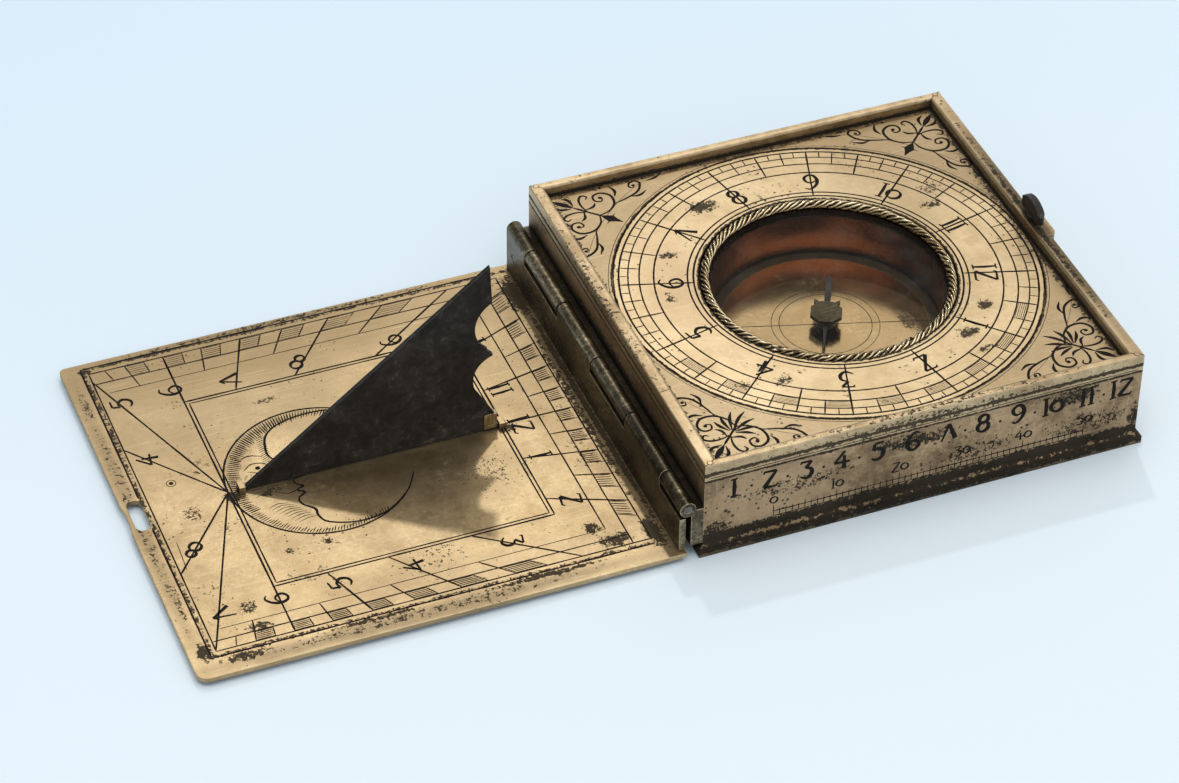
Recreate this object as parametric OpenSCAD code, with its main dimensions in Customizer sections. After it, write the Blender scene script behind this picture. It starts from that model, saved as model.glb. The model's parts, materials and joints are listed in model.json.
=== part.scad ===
// Pocket sundial of gilt brass: a square compass box with a hinged lid.
// The lid's inner face is a horizontal dial with a folding gnomon.
// The box holds a round dial that turns together with its compass.
// Millimetres. Origin: centre of the box on the surface it stands on.
// +X points away from the hinge, +Z up. The lid lies open towards -X.

/* [Case] */
// Length of the case, square to the hinge
case_x = 70; // [64:1:90]
// Width of the case, along the hinge
case_y = 70.4; // [64:0.2:90]
// Height of the rim above the table
case_h = 16.6; // [15:0.1:22]
// Thickness of the two side walls, along the hinge and the latch
wall_t = 1.9; // [1.8:0.1:3]
// Thickness of the front and back walls
end_wall_t = 1.2; // [1:0.1:2]
// Height of the moulded base
foot_h = 2; // [1.4:0.1:2.6]
// How far the moulded base stands out
foot_proud = 0.8; // [0.4:0.1:1.2]
// Height of the mitred rim strips
rim_h = 3; // [2.5:0.1:4]
// Rounding of the rim's inner edge
rim_round = 0.35; // [0.2:0.05:0.5]
// Flat worn on the rim's outer edge
rim_edge = 0.15; // [0.1:0.05:0.3]
// Depth of the dial below the rim
rim_depth = 1.9; // [1.8:0.1:2.4]
// Radius of the pins that hold the rim's corners
rim_pin_r = 0.4; // [0.3:0.05:0.5]
// Length of those pins
rim_pin_len = 4.5; // [3.5:0.1:6]

/* [Dial and compass] */
// Thickness of the turning dial and its corner plate
dial_t = 1.15; // [0.8:0.05:1.5]
// Thickness of the plate that carries the dial
carrier_t = 1.2; // [0.8:0.1:1.6]
// Web left between the round opening and the walls
opening_web = 0.4; // [0.3:0.1:1.5]
// Gap round the turning dial
dial_gap = 0.2; // [0.1:0.05:0.4]
// Inner radius of the compass bowl
bowl_r = 17.6; // [14:0.1:17.8]
// Wall of the compass bowl
bowl_t = 1; // [0.8:0.1:1.6]
// Depth of the bowl above its floor disc
bowl_depth = 7.85; // [6:0.05:8]
// Width of the bowl's flange
flange_w = 2.6; // [2:0.1:4]
// Thickness of the floor disc
floor_t = 0.5; // [0.3:0.1:0.6]
// Thickness of the glass
glass_t = 0.6; // [0.4:0.1:1]
// Width of the ledge under the glass
glass_ledge = 0.7; // [0.4:0.1:0.8]
// Width of the ring that holds the bowl down
keeper_w = 4.2; // [3.4:0.1:6]
// Thickness of that ring
keeper_t = 1; // [0.6:0.1:1.6]

/* [Twisted ring] */
// How far the middle of the twisted ring lies outside the bowl's inner wall
rope_out = 1.15; // [0.9:0.05:1.4]
// Radius of each of its two wires
strand_r = 0.46; // [0.35:0.01:0.5]
// Distance of each wire from the middle
strand_off = 0.36; // [0.25:0.01:0.38]
// Turns of the two wires round each other
rope_turns = 24; // [16:1:48]

/* [Needle] */
// Length of the north arm
needle_n = 9.8; // [6:0.1:12]
// Length of the south arm
needle_s = 8.4; // [6:0.1:12]
// Width of the needle
needle_w = 1; // [0.6:0.1:1.6]
// Thickness of the needle
needle_t = 0.45; // [0.3:0.05:0.8]
// Length of the pointed head on the north arm
needle_head = 1.2; // [1:0.1:3]
// Radius of the needle's round middle
needle_hub_r = 1.7; // [1.3:0.1:2]
// Height of the needle's underside above the floor
needle_up = 1.35; // [1:0.05:2]
// Radius of the eight-sided cap across its corners
cap_r = 2.6; // [2:0.1:3.4]
// Thickness of the cap
cap_t = 0.7; // [0.5:0.1:1.2]
// Reach of the cap's two ears from the middle
ear_reach = 3.5; // [3.45:0.05:4]
// Width of an ear
ear_w = 0.6; // [0.4:0.1:1]
// Radius of the cap's boss in the needle
boss_r = 1; // [0.9:0.05:1.1]
// How far the boss reaches below the needle
boss_drop = 0.35; // [0.2:0.05:0.5]
// Direction of the north arm at rest, from +X
needle_deg = 63; // [0:1:359]
// Radius of the pivot's shaft
pivot_r = 0.42; // [0.3:0.01:0.5]

/* [Hinge] */
// Distance of the hinge axis from the case wall
hinge_out = 2.45; // [2.3:0.05:3.5]
// Radius of the hinge barrel
barrel_r = 1.25; // [1.1:0.05:1.5]
// Radius of the hinge pin
hinge_pin_r = 0.55; // [0.4:0.05:0.7]
// Running clearance of the lid's knuckles on the pin
pin_run = 0.05; // [0.02:0.01:0.08]
// Length of the two end knuckles
end_knuckle = 7.8; // [5:0.1:12]
// Number of knuckles between the two end ones
mid_knuckles = 4; // [2:2:8]
// Gap between neighbouring knuckles
knuckle_gap = 0.2; // [0.1:0.05:0.4]
// Gap round a knuckle in the other leaf
leaf_gap = 0.28; // [0.2:0.02:0.4]
// Thickness of the lid's leaf
lid_leaf_t = 0.95; // [0.8:0.05:1.2]
// Thickness of the case's leaf
case_leaf_t = 1.9; // [1.6:0.05:2]

/* [Lid] */
// Thickness of the lid
lid_t = 0.8; // [0.7:0.05:1.4]
// Height of the open lid above the table
lid_up = 0.7; // [0.3:0.1:1.2]
// How far the closed lid reaches past the latch wall
lid_over = 1.1; // [0.8:0.1:2]
// How far the lid reaches past each end wall
lid_side = 0.7; // [0:0.1:1]
// Radius of the lid's free corner at the front
lid_corner_front = 1.7; // [0.5:0.1:3]
// Radius of the lid's free corner at the back
lid_corner_back = 0.9; // [0.5:0.1:3]
// Rounding of the fold between the lid and its leaf
fold_round = 0.6; // [0.2:0.1:0.65]
// Gap between the closed lid and the rim
lid_seat_gap = 0.05; // [0.02:0.01:0.2]
// Depth of the shallow thumb notch in the free edge
notch_depth = 0.25; // [0.1:0.05:0.3]
// Length of that notch
notch_len = 6.4; // [4:0.2:14]

/* [Gnomon] */
// Length of the style along the noon line
style_run = 40.9; // [32:0.1:42]
// Height of the style's tip above the lid
style_rise = 30.9; // [28:0.1:31.5]
// Depth of the upper scallop's middle below the tip
upper_drop = 11.2; // [10:0.1:12]
// Depth of the upper scallop's start below the tip
upper_start = 6.6; // [6.2:0.1:7]
// Radius of the upper scallop
upper_r = 5; // [4:0.1:6]
// How far the upper scallop cuts into the plate
upper_bite = 2.4; // [1.6:0.1:2.6]
// Depth of the cusp between the scallops below the tip
cusp_drop = 16.3; // [16:0.1:16.6]
// Height of the lower scallop's middle above the lid
lower_up = 10.1; // [9:0.1:11]
// Radius of the lower scallop
lower_r = 4.3; // [3.8:0.1:4.6]
// How far the lower scallop cuts into the plate
lower_bite = 2.8; // [2:0.1:3]
// Distance of the tip from the hinge axis
tip_to_hinge = 17.05; // [14:0.05:20]
// Thickness of the gnomon plate
gnomon_t = 0.6; // [0.4:0.05:0.7]
// Height of the fold's axis above the lid
fold_h = 0.55; // [0.54:0.01:0.7]
// Distance from the dial's centre to the plate's cut end
plate_start = 2.7; // [2.4:0.1:4]
// Height of the plate's lower edge above the lid
plate_lift = 0.25; // [0.2:0.01:0.35]
// Height of the plate's toe at its cut end
toe_h = 0.6; // [0.6:0.05:1.6]
// Cheek of the foot clip on each side of the plate
clip_cheek = 0.2; // [0.15:0.01:0.22]
// Length of the foot clip
clip_len = 2; // [1.8:0.1:3]
// Height of the foot clip
clip_h = 3.1; // [2.4:0.1:3.2]
// Radius of the flutes in the clip's cheeks
flute_r = 0.16; // [0.1:0.01:0.18]
// Radius of the fold's pins
fold_pin_r = 0.3; // [0.2:0.01:0.3]
// Running clearance of those pins
fold_run = 0.04; // [0.02:0.01:0.08]
// Length of each bearing block
bearing_l = 0.9; // [0.6:0.1:1.2]
// Width of each bearing block
bearing_w = 1.7; // [1.4:0.1:2.4]
// Height of each bearing block
bearing_h = 1.15; // [1.1:0.05:1.3]

/* [Latch] */
// Length of the turn button
button_l = 6.2; // [4:0.1:7]
// Width of the turn button
button_w = 1.1; // [1:0.1:1.5]
// Height of the turn button's head
button_h = 2.9; // [1.6:0.1:3]
// How much lower the head's ends are than its middle
button_drop = 1.5; // [0.5:0.1:1.6]
// Radius of the button's neck
neck_r = 0.85; // [0.6:0.05:0.9]
// Radius of the button's stem
stem_r = 0.5; // [0.4:0.05:0.5]
// Running clearance of the stem
stem_run = 0.05; // [0.02:0.01:0.08]
// Gap between the button and the closed lid
button_gap = 0.12; // [0.05:0.01:0.3]
// Radius of the riveted collar under the block
collar_r = 0.74; // [0.7:0.01:0.76]
// Thickness of that collar
collar_t = 0.5; // [0.4:0.05:0.7]
// Clearance of the lid's slot at each end of the button
slot_end_gap = 0.3; // [0.2:0.05:0.6]
// Width of the lid's slot
slot_w = 2.3; // [2.2:0.05:2.5]
// Length of the latch block along the wall
block_l = 9.2; // [8:0.1:14]
// How far the latch block stands out of the wall
block_proud = 1; // [0.6:0.1:1.4]

/* [Hidden] */
$fn = 96;
fine_fn = 32;
eps = 0.01;
// How far a cutter reaches past what it cuts
cut = 1;

// Heights that several pieces share
dial_z = case_h - rim_depth;
carrier_gap = 0.05;
carrier_top = dial_z - dial_t - carrier_gap;
wall_top = case_h - rim_h;
floor_z = dial_z - dial_t - bowl_depth;
lid_top = lid_up + lid_t;
axis_z = (case_h + lid_top + lid_seat_gap) / 2;
axis_x = -case_x / 2 - hinge_out;

// The dial and the compass
opening_r = min(case_x / 2 - wall_t, case_y / 2 - end_wall_t) - opening_web;
dial_r = opening_r - dial_gap;
rope_r = bowl_r + rope_out;
rope_env = strand_r + strand_off;
rope_gap = 0.03;
rope_z = dial_z - dial_t + rope_gap + rope_env;
rope_seat_gap = 0.12;
dial_hole_r = rope_r + rope_env + rope_seat_gap;
bowl_out_r = bowl_r + bowl_t;
flange_r = bowl_out_r + flange_w;
flange_gap = 0.1;
flange_t = carrier_t + 2 * carrier_gap;
glass_r = bowl_r + glass_ledge;
rope_steps = 12;
rope_rings = rope_turns * rope_steps;
rope_sides = 8;

// The hinge
mid_knuckle = (case_y - 2 * end_knuckle) / mid_knuckles;
leaf_top = axis_z - 0.33;
leaf_foot_gap = 0.1;

// The lid
lid_free_x = axis_x - (case_x + hinge_out + lid_over);
lid_hinge_x = axis_x - barrel_r + lid_leaf_t;
lid_y = case_y + 2 * lid_side;

// The gnomon
dial_centre_x = axis_x - tip_to_hinge - style_run;
fold_z = lid_top + fold_h;
tip_x = axis_x - tip_to_hinge;
foot_back = 0.5;
clip_over = 0.35;
bearing_gap = 0.3;
tenon_l = 1.4;

// The latch
stem_x = case_x / 2 - wall_t / 2;
slot_lead = 0.1;
slot_x = 2 * axis_x - stem_x - slot_lead;
slot_l = button_l + 2 * slot_end_gap;
button_z = 2 * axis_z - lid_up + button_gap;
pocket_r = collar_r + 0.05;
pocket_h = collar_t + 0.6;

// A box given by its low and high corners
module bar(low, high) {
    translate(low) cube(high - low);
}

// A round rod along Y on the hinge axis, from y0 to y1
module hinge_rod(r, y0, y1) {
    translate([axis_x, y0, axis_z]) rotate([-90, 0, 0]) cylinder(r = r, h = y1 - y0);
}

// A round rod along X on the gnomon's fold axis, u counted from the dial's centre
module fold_rod(r, u0, u1) {
    translate([dial_centre_x + u0, 0, fold_z])
        rotate([0, 90, 0]) cylinder(r = r, h = u1 - u0, $fn = fine_fn);
}

// The base: a plate whose edge is hollowed by a quarter round on all four sides
module base_plate() {
    ex = case_x / 2 + foot_proud;
    ey = case_y / 2 + foot_proud;
    color("goldenrod") difference() {
        bar([-ex, -ey, 0], [ex, ey, foot_h]);
        for (s = [-1, 1]) {
            translate([s * ex, -ey - cut, foot_h])
                rotate([-90, 0, 0]) cylinder(r = foot_proud, h = 2 * (ey + cut));
            translate([-ex - cut, s * ey, foot_h])
                rotate([0, 90, 0]) cylinder(r = foot_proud, h = 2 * (ex + cut));
        }
    }
}

// Pins through the mitred corners of the rim, and the holes they are driven into
module rim_pin_rods(top) {
    for (sx = [-1, 1], sy = [-1, 1])
        translate([sx * (case_x / 2 - wall_t / 2), sy * (case_y / 2 - end_wall_t / 2), case_h - rim_pin_len])
            cylinder(r = rim_pin_r, h = rim_pin_len + top, $fn = fine_fn);
}

module rim_pins() {
    color("darkkhaki") rim_pin_rods(0.04);
}

// The end walls stand between the two side walls
module end_wall(s) {
    y_out = s * case_y / 2;
    y_in = s * (case_y / 2 - end_wall_t);
    bar([-case_x / 2 + wall_t, min(y_out, y_in), foot_h],
        [case_x / 2 - wall_t, max(y_out, y_in), wall_top]);
}

module wall_front() {
    color("goldenrod") end_wall(-1);
}

module wall_back() {
    color("goldenrod") end_wall(1);
}

// The side walls run the whole width of the case
module side_wall(s) {
    x_out = s * case_x / 2;
    x_in = s * (case_x / 2 - wall_t);
    difference() {
        bar([min(x_out, x_in), -case_y / 2, foot_h], [max(x_out, x_in), case_y / 2, wall_top]);
        rim_pin_rods(cut);
    }
}

module wall_hinge_side() {
    color("goldenrod") side_wall(-1);
}

module wall_latch_side() {
    color("goldenrod") difference() {
        side_wall(1);
        translate([stem_x, 0, wall_top - pocket_h])
            cylinder(r = pocket_r, h = pocket_h + cut, $fn = fine_fn);
    }
}

// Section of a rim strip w wide: x runs inwards from the wall's outer face, y upwards
module rim_section(w) {
    lip = 0.1;
    inner = w + lip;
    union() {
        polygon([
            [0, 0],
            [0, rim_h - rim_edge],
            [rim_edge, rim_h],
            [inner - rim_round, rim_h],
            [inner - rim_round, rim_h - rim_round],
            [inner, rim_h - rim_round],
            [inner, rim_h - rim_depth],
            [w, rim_h - rim_depth],
            [w, 0]]);
        translate([inner - rim_round, rim_h - rim_round]) circle(r = rim_round, $fn = fine_fn);
    }
}

// One mitred strip of the rim, its outer face on y = 0; beside is the width of its neighbours
module rim_strip(len, w, beside) {
    intersection() {
        translate([-len / 2, 0, 0])
            rotate([90, 0, 90]) linear_extrude(len) rim_section(w);
        translate([0, 0, -cut]) linear_extrude(rim_h + 2 * cut) polygon([
            [-len / 2, 0],
            [len / 2, 0],
            [len / 2 - 2 * beside, 2 * w],
            [-len / 2 + 2 * beside, 2 * w]]);
    }
}

// Places a rim strip on one side of the case: turn 0 is the front
module placed_rim(turn) {
    along_x = turn % 180 == 0;
    len = along_x ? case_x : case_y;
    out = along_x ? case_y / 2 : case_x / 2;
    difference() {
        rotate([0, 0, turn]) translate([0, -out, wall_top])
            rim_strip(len, along_x ? end_wall_t : wall_t, along_x ? wall_t : end_wall_t);
        rim_pin_rods(cut);
    }
}

module rim_front() {
    color("gold") placed_rim(0);
}

module rim_back() {
    color("gold") placed_rim(180);
}

module rim_hinge_side() {
    color("gold") placed_rim(270);
}

module rim_latch_side() {
    color("gold") difference() {
        placed_rim(90);
        bar([case_x / 2 - wall_t - cut, -block_l / 2, wall_top - cut],
            [case_x / 2 + cut, block_l / 2, case_h + cut]);
    }
}

// Square plate with the round opening that the dial turns in
module corner_plate() {
    hx = case_x / 2 - wall_t;
    hy = case_y / 2 - end_wall_t;
    color("khaki") difference() {
        bar([-hx, -hy, carrier_top], [hx, hy, dial_z]);
        translate([0, 0, carrier_top - cut]) cylinder(r = opening_r, h = dial_t + 2 * cut);
    }
}

// Plate under the dial, soldered between the walls
module carrier_plate() {
    hx = case_x / 2 - wall_t;
    hy = case_y / 2 - end_wall_t;
    color("darkgoldenrod") difference() {
        bar([-hx, -hy, carrier_top - carrier_t], [hx, hy, carrier_top]);
        translate([0, 0, carrier_top - carrier_t - cut])
            cylinder(r = flange_r + flange_gap, h = carrier_t + 2 * cut);
    }
}

// Stretches of the hinge, from the far end to the near one: the lid has every even one
function knuckle_y(i) = case_y / 2 - (i == 0 ? 0 : end_knuckle + (i - 1) * mid_knuckle)
    + (i == mid_knuckles + 2 ? mid_knuckle - end_knuckle : 0);

// Knuckle number i, less half the gap at each joint
module knuckle(i, r) {
    high = knuckle_y(i) - (i == 0 ? 0 : knuckle_gap / 2);
    low = knuckle_y(i + 1) + (i == mid_knuckles + 1 ? 0 : knuckle_gap / 2);
    hinge_rod(r, low, high);
}

// Room for a knuckle of the other leaf
module knuckle_room(i, r) {
    high = knuckle_y(i) + (i == 0 ? cut : knuckle_gap / 2);
    low = knuckle_y(i + 1) - (i == mid_knuckles + 1 ? cut : knuckle_gap / 2);
    hinge_rod(r, low, high);
}

// Leaf on the case: a thick strip with its knuckles on its top edge
module case_hinge_leaf() {
    x_wall = -case_x / 2;
    color("peru") difference() {
        union() {
            bar([x_wall - case_leaf_t, -case_y / 2, foot_h + leaf_foot_gap], [x_wall, case_y / 2, leaf_top]);
            for (i = [1:2:mid_knuckles + 1]) {
                knuckle(i, barrel_r);
                low = knuckle_y(i + 1) + (i == mid_knuckles + 1 ? 0 : knuckle_gap / 2);
                bar([axis_x, low, axis_z - barrel_r],
                    [x_wall - case_leaf_t + eps, knuckle_y(i) - knuckle_gap / 2, leaf_top]);
            }
        }
        for (i = [0:2:mid_knuckles]) knuckle_room(i, barrel_r + leaf_gap);
        hinge_rod(hinge_pin_r, -case_y, case_y);
    }
}

module hinge_pin() {
    color("dimgray") hinge_rod(hinge_pin_r, -case_y / 2, case_y / 2);
}

// Leaf on the lid: it stands on the lid's edge and rolls over into its knuckles
module lid_hinge_leaf() {
    x0 = axis_x - barrel_r;
    room = barrel_r + leaf_gap;
    color("peru") difference() {
        union() {
            difference() {
                bar([x0, -case_y / 2, lid_top], [lid_hinge_x, case_y / 2, axis_z]);
                for (i = [1:2:mid_knuckles + 1]) {
                    low = knuckle_y(i + 1) - (i == mid_knuckles + 1 ? cut : knuckle_gap / 2);
                    bar([x0 - cut, low, axis_z - room],
                        [lid_hinge_x + cut, knuckle_y(i) + knuckle_gap / 2, axis_z + cut]);
                }
            }
            for (i = [0:2:mid_knuckles]) knuckle(i, barrel_r);
        }
        hinge_rod(hinge_pin_r + pin_run, -case_y, case_y);
    }
}

// Outline of the lid seen from above, with rounded free corners
module lid_outline() {
    hy = lid_y / 2;
    deep = max(lid_corner_front, lid_corner_back);
    translate([lid_free_x, 0]) {
        translate([deep, -hy]) square([lid_hinge_x - lid_free_x - deep, lid_y]);
        translate([0, -hy + lid_corner_front]) square([deep + eps, lid_y - lid_corner_front - lid_corner_back]);
        translate([lid_corner_front, -hy]) square([deep - lid_corner_front + eps, lid_corner_front + eps]);
        translate([lid_corner_back, hy - lid_corner_back - eps])
            square([deep - lid_corner_back + eps, lid_corner_back + eps]);
        translate([lid_corner_front, -hy + lid_corner_front]) circle(r = lid_corner_front);
        translate([lid_corner_back, hy - lid_corner_back]) circle(r = lid_corner_back, $fn = fine_fn);
    }
}

// The lid: its face is the sundial, with a slot for the turn button near its free edge.
// Its edge at the hinge is rounded below, as a folded sheet is.
module lid_plate() {
    notch_r = (pow(notch_len / 2, 2) + pow(notch_depth, 2)) / (2 * notch_depth);
    color("khaki") difference() {
        translate([0, 0, lid_up]) linear_extrude(lid_t) lid_outline();
        translate([slot_x, 0, lid_up - cut]) linear_extrude(lid_t + 2 * cut) {
            square([slot_w, slot_l - slot_w], center = true);
            for (s = [-1, 1]) translate([0, s * (slot_l - slot_w) / 2]) circle(d = slot_w, $fn = fine_fn);
        }
        translate([lid_free_x + notch_depth - notch_r, 0, lid_up - cut])
            cylinder(r = notch_r, h = lid_t + 2 * cut);
        translate([lid_hinge_x - fold_round, lid_y, lid_up + fold_round]) rotate([90, 0, 0]) difference() {
            translate([0, -2 * fold_round, -lid_y]) cube([2 * fold_round, 2 * fold_round, 3 * lid_y]);
            translate([0, 0, -lid_y - cut]) cylinder(r = fold_round, h = 3 * lid_y + 2 * cut, $fn = fine_fn);
        }
    }
}

// Where the two bearing blocks start, counted from the dial's centre
function bearing_starts() = [
    plate_start - bearing_gap - bearing_l,
    style_run + foot_back + clip_over + bearing_gap];

// Two small blocks on the noon line that carry the gnomon's pins
module gnomon_bearings() {
    color("gold") difference() {
        for (u = bearing_starts())
            bar([dial_centre_x + u, -bearing_w / 2, lid_top],
                [dial_centre_x + u + bearing_l, bearing_w / 2, lid_top + bearing_h]);
        fold_rod(fold_pin_r + fold_run, -bearing_l, style_run + 4 * bearing_l + 3);
    }
}

// Outline of the gnomon: x along the noon line, y its height above the lid.
// The back edge has two scallops, with a tooth, a hooked nib and a cusp between them.
module gnomon_outline() {
    back = style_run + 0.3;
    foot = style_run + foot_back;
    upper_c = [style_run - upper_bite + upper_r, style_rise - upper_drop];
    lower_c = [style_run - lower_bite + lower_r, lower_up];
    upper_end = upper_c - [upper_r * cos(17), upper_r * sin(17)];
    lower_end = lower_c - [lower_r * cos(28), lower_r * sin(28)];
    cusp = [back, style_rise - cusp_drop];
    difference() {
        polygon([
            [plate_start, plate_lift],
            [plate_start, plate_lift + toe_h],
            [style_run, style_rise],
            [back, style_rise - upper_start],
            [back, cusp[1]],
            [back + 0.1, clip_h + 0.2],
            [foot, clip_h],
            [foot, plate_lift]]);
        translate(upper_c) circle(r = upper_r);
        translate(lower_c) circle(r = lower_r);
        polygon([
            upper_c,
            upper_end,
            upper_end + [0.75, -0.35],
            upper_end + [0.2, -1],
            upper_end + [1.2, -1.5],
            upper_end + [1.75, -2.25],
            upper_end + [1.55, -2.75],
            cusp,
            cusp + [2, 0],
            upper_c + [1, 0]]);
        polygon([
            lower_c,
            lower_end,
            [back + 0.1, clip_h + 0.2],
            [back + 3, clip_h + 0.2]]);
    }
}

// Sheet gnomon standing on the noon line, with a tenon filed on its cut end
module gnomon_plate() {
    color("darkslategray") union() {
        translate([dial_centre_x, gnomon_t / 2, lid_top])
            rotate([90, 0, 0]) linear_extrude(gnomon_t) gnomon_outline();
        fold_rod(fold_pin_r, plate_start - tenon_l, plate_start + eps);
    }
}

// Brass clip round the gnomon's foot: rounded about the fold's axis, fluted on both cheeks
module gnomon_clip() {
    half = gnomon_t / 2 + clip_cheek;
    foot = style_run + foot_back;
    u1 = foot + clip_over;
    u0 = u1 - clip_len;
    x0 = dial_centre_x + u0;
    z1 = lid_top + clip_h;
    color("gold") difference() {
        union() {
            bar([x0, -half, fold_z], [x0 + clip_len, half, z1]);
            fold_rod(half, u0, u1);
        }
        bar([x0 - cut, -gnomon_t / 2, lid_up], [dial_centre_x + foot, gnomon_t / 2, z1 + cut]);
        fold_rod(fold_pin_r, foot - eps, u1 + cut);
        for (s = [-1, 1], k = [1, 2])
            translate([x0 + k * clip_len / 3, s * (half + flute_r / 4), fold_z + half])
                cylinder(r = flute_r, h = z1, $fn = fine_fn);
    }
}

module gnomon_pin() {
    foot = style_run + foot_back;
    color("dimgray") fold_rod(fold_pin_r, foot, foot + clip_over + bearing_gap + bearing_l + 0.2);
}

// Block let into the rim, with the bore for the turn button's stem
module latch_block() {
    x_in = case_x / 2 - wall_t;
    lip = 0.1;
    len = block_proud + wall_t / 2;
    color("gold") difference() {
        union() {
            bar([x_in, -block_l / 2, wall_top], [case_x / 2, block_l / 2, case_h]);
            bar([x_in - lip, -block_l / 2, dial_z], [case_x / 2, block_l / 2, case_h]);
            translate([case_x / 2 - wall_t / 2, 0, wall_top]) linear_extrude(rim_h) {
                translate([0, -block_l / 2]) square([len - block_proud, block_l]);
                translate([0, -block_l / 2 + block_proud]) square([len, block_l - 2 * block_proud]);
                for (s = [-1, 1]) translate([len - block_proud, s * (block_l / 2 - block_proud)])
                    circle(r = block_proud, $fn = fine_fn);
            }
        }
        translate([stem_x, 0, wall_top - cut])
            cylinder(r = stem_r + stem_run, h = rim_h + 2 * cut, $fn = fine_fn);
    }
}

// Iron turn button: an arched head on a round neck and stem
module turn_button() {
    arch_r = (pow(button_l / 2, 2) + pow(button_drop, 2)) / (2 * button_drop);
    color("dimgray") union() {
        intersection() {
            translate([stem_x, 0, button_z]) linear_extrude(button_h) {
                square([button_w, button_l - button_w], center = true);
                for (s = [-1, 1])
                    translate([0, s * (button_l - button_w) / 2]) circle(d = button_w, $fn = fine_fn);
            }
            translate([stem_x - button_w, 0, button_z + button_h - arch_r])
                rotate([0, 90, 0]) cylinder(r = arch_r, h = 2 * button_w);
        }
        translate([stem_x, 0, case_h + 0.03])
            cylinder(r = neck_r, h = button_z - case_h, $fn = fine_fn);
        translate([stem_x, 0, wall_top - collar_t - 0.1])
            cylinder(r = stem_r, h = case_h - wall_top + collar_t + 0.2, $fn = fine_fn);
    }
}

module stem_collar() {
    color("gray") translate([stem_x, 0, wall_top - collar_t - 0.1]) difference() {
        cylinder(r = collar_r, h = collar_t, $fn = fine_fn);
        translate([0, 0, -cut]) cylinder(r = stem_r, h = collar_t + 2 * cut, $fn = fine_fn);
    }
}

// Turning dial: a ring plate soldered on the bowl's flange
module dial_disc() {
    color("khaki") translate([0, 0, dial_z - dial_t]) difference() {
        cylinder(r = dial_r, h = dial_t);
        translate([0, 0, -cut]) cylinder(r = dial_hole_r, h = dial_t + 2 * cut);
    }
}

// Turned bowl: flange above, ledge for the glass, flat bottom
module compass_bowl() {
    top = dial_z - dial_t;
    bottom = floor_z - floor_t;
    color("sienna") rotate_extrude() polygon([
        [0, bottom - bowl_t],
        [bowl_out_r, bottom - bowl_t],
        [bowl_out_r, top - flange_t],
        [flange_r, top - flange_t],
        [flange_r, top],
        [glass_r, top],
        [glass_r, top - glass_t],
        [bowl_r, top - glass_t],
        [bowl_r, bottom],
        [0, bottom]]);
}

// Ring pressed on the bowl under the carrier plate
module bowl_keeper() {
    color("darkgoldenrod") translate([0, 0, dial_z - dial_t - flange_t - keeper_t]) difference() {
        cylinder(r = bowl_out_r + keeper_w, h = keeper_t);
        translate([0, 0, -cut]) cylinder(r = bowl_out_r, h = keeper_t + 2 * cut);
    }
}

module compass_floor() {
    color("khaki") translate([0, 0, floor_z - floor_t]) cylinder(r = bowl_r, h = floor_t);
}

// Pivot: a foot disc, a shaft and a cone that ends just under the cap's seat
module needle_pivot() {
    tip_z = needle_up + needle_t - 0.1;
    color("silver") translate([0, 0, floor_z]) rotate_extrude($fn = fine_fn) polygon([
        [0, 0],
        [3 * pivot_r, 0],
        [2.6 * pivot_r, 0.35],
        [pivot_r, 0.5],
        [pivot_r, tip_z - 1],
        [0, tip_z]]);
}

module compass_glass() {
    color("lightblue") translate([0, 0, dial_z - dial_t - glass_t])
        cylinder(r = glass_r, h = glass_t);
}

// Two wires twisted round each other into a ring: at each step along the ring
// the two-lobed section has turned on, and after whole turns it closes on itself.
function lobe(a) = strand_off * abs(cos(a)) + sqrt(pow(strand_r, 2) - pow(strand_off * sin(a), 2));
function ring_point(i, j) =
    let (
        along = 360 * i / rope_rings,
        side = 360 * j / rope_sides,
        turned = side + along * rope_turns,
        r = rope_r + lobe(side) * cos(turned))
    [r * cos(along), r * sin(along), rope_z + lobe(side) * sin(turned)];

module twisted_ring() {
    points = [for (i = [0:rope_rings - 1], j = [0:rope_sides - 1]) ring_point(i, j)];
    function at(i, j) = (i % rope_rings) * rope_sides + j % rope_sides;
    faces = [for (i = [0:rope_rings - 1], j = [0:rope_sides - 1], half = [0, 1])
        half == 0
            ? [at(i, j), at(i, j + 1), at(i + 1, j)]
            : [at(i, j + 1), at(i + 1, j + 1), at(i + 1, j)]];
    color("goldenrod") polyhedron(points, faces);
}

// Needle: a bar with a pointed head to the north and a slim point to the south
module needle() {
    w = needle_w / 2;
    neck = needle_n - needle_head;
    color("darkslategray") rotate([0, 0, needle_deg])
        translate([0, 0, floor_z + needle_up]) linear_extrude(needle_t) difference() {
            union() {
                circle(r = needle_hub_r);
                polygon([
                    [0, -w],
                    [neck, -w * 0.8],
                    [neck, -w],
                    [needle_n, 0],
                    [neck, w],
                    [neck, w * 0.8],
                    [0, w],
                    [-needle_s, 0]]);
            }
            circle(r = boss_r, $fn = fine_fn);
        }
}

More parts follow.
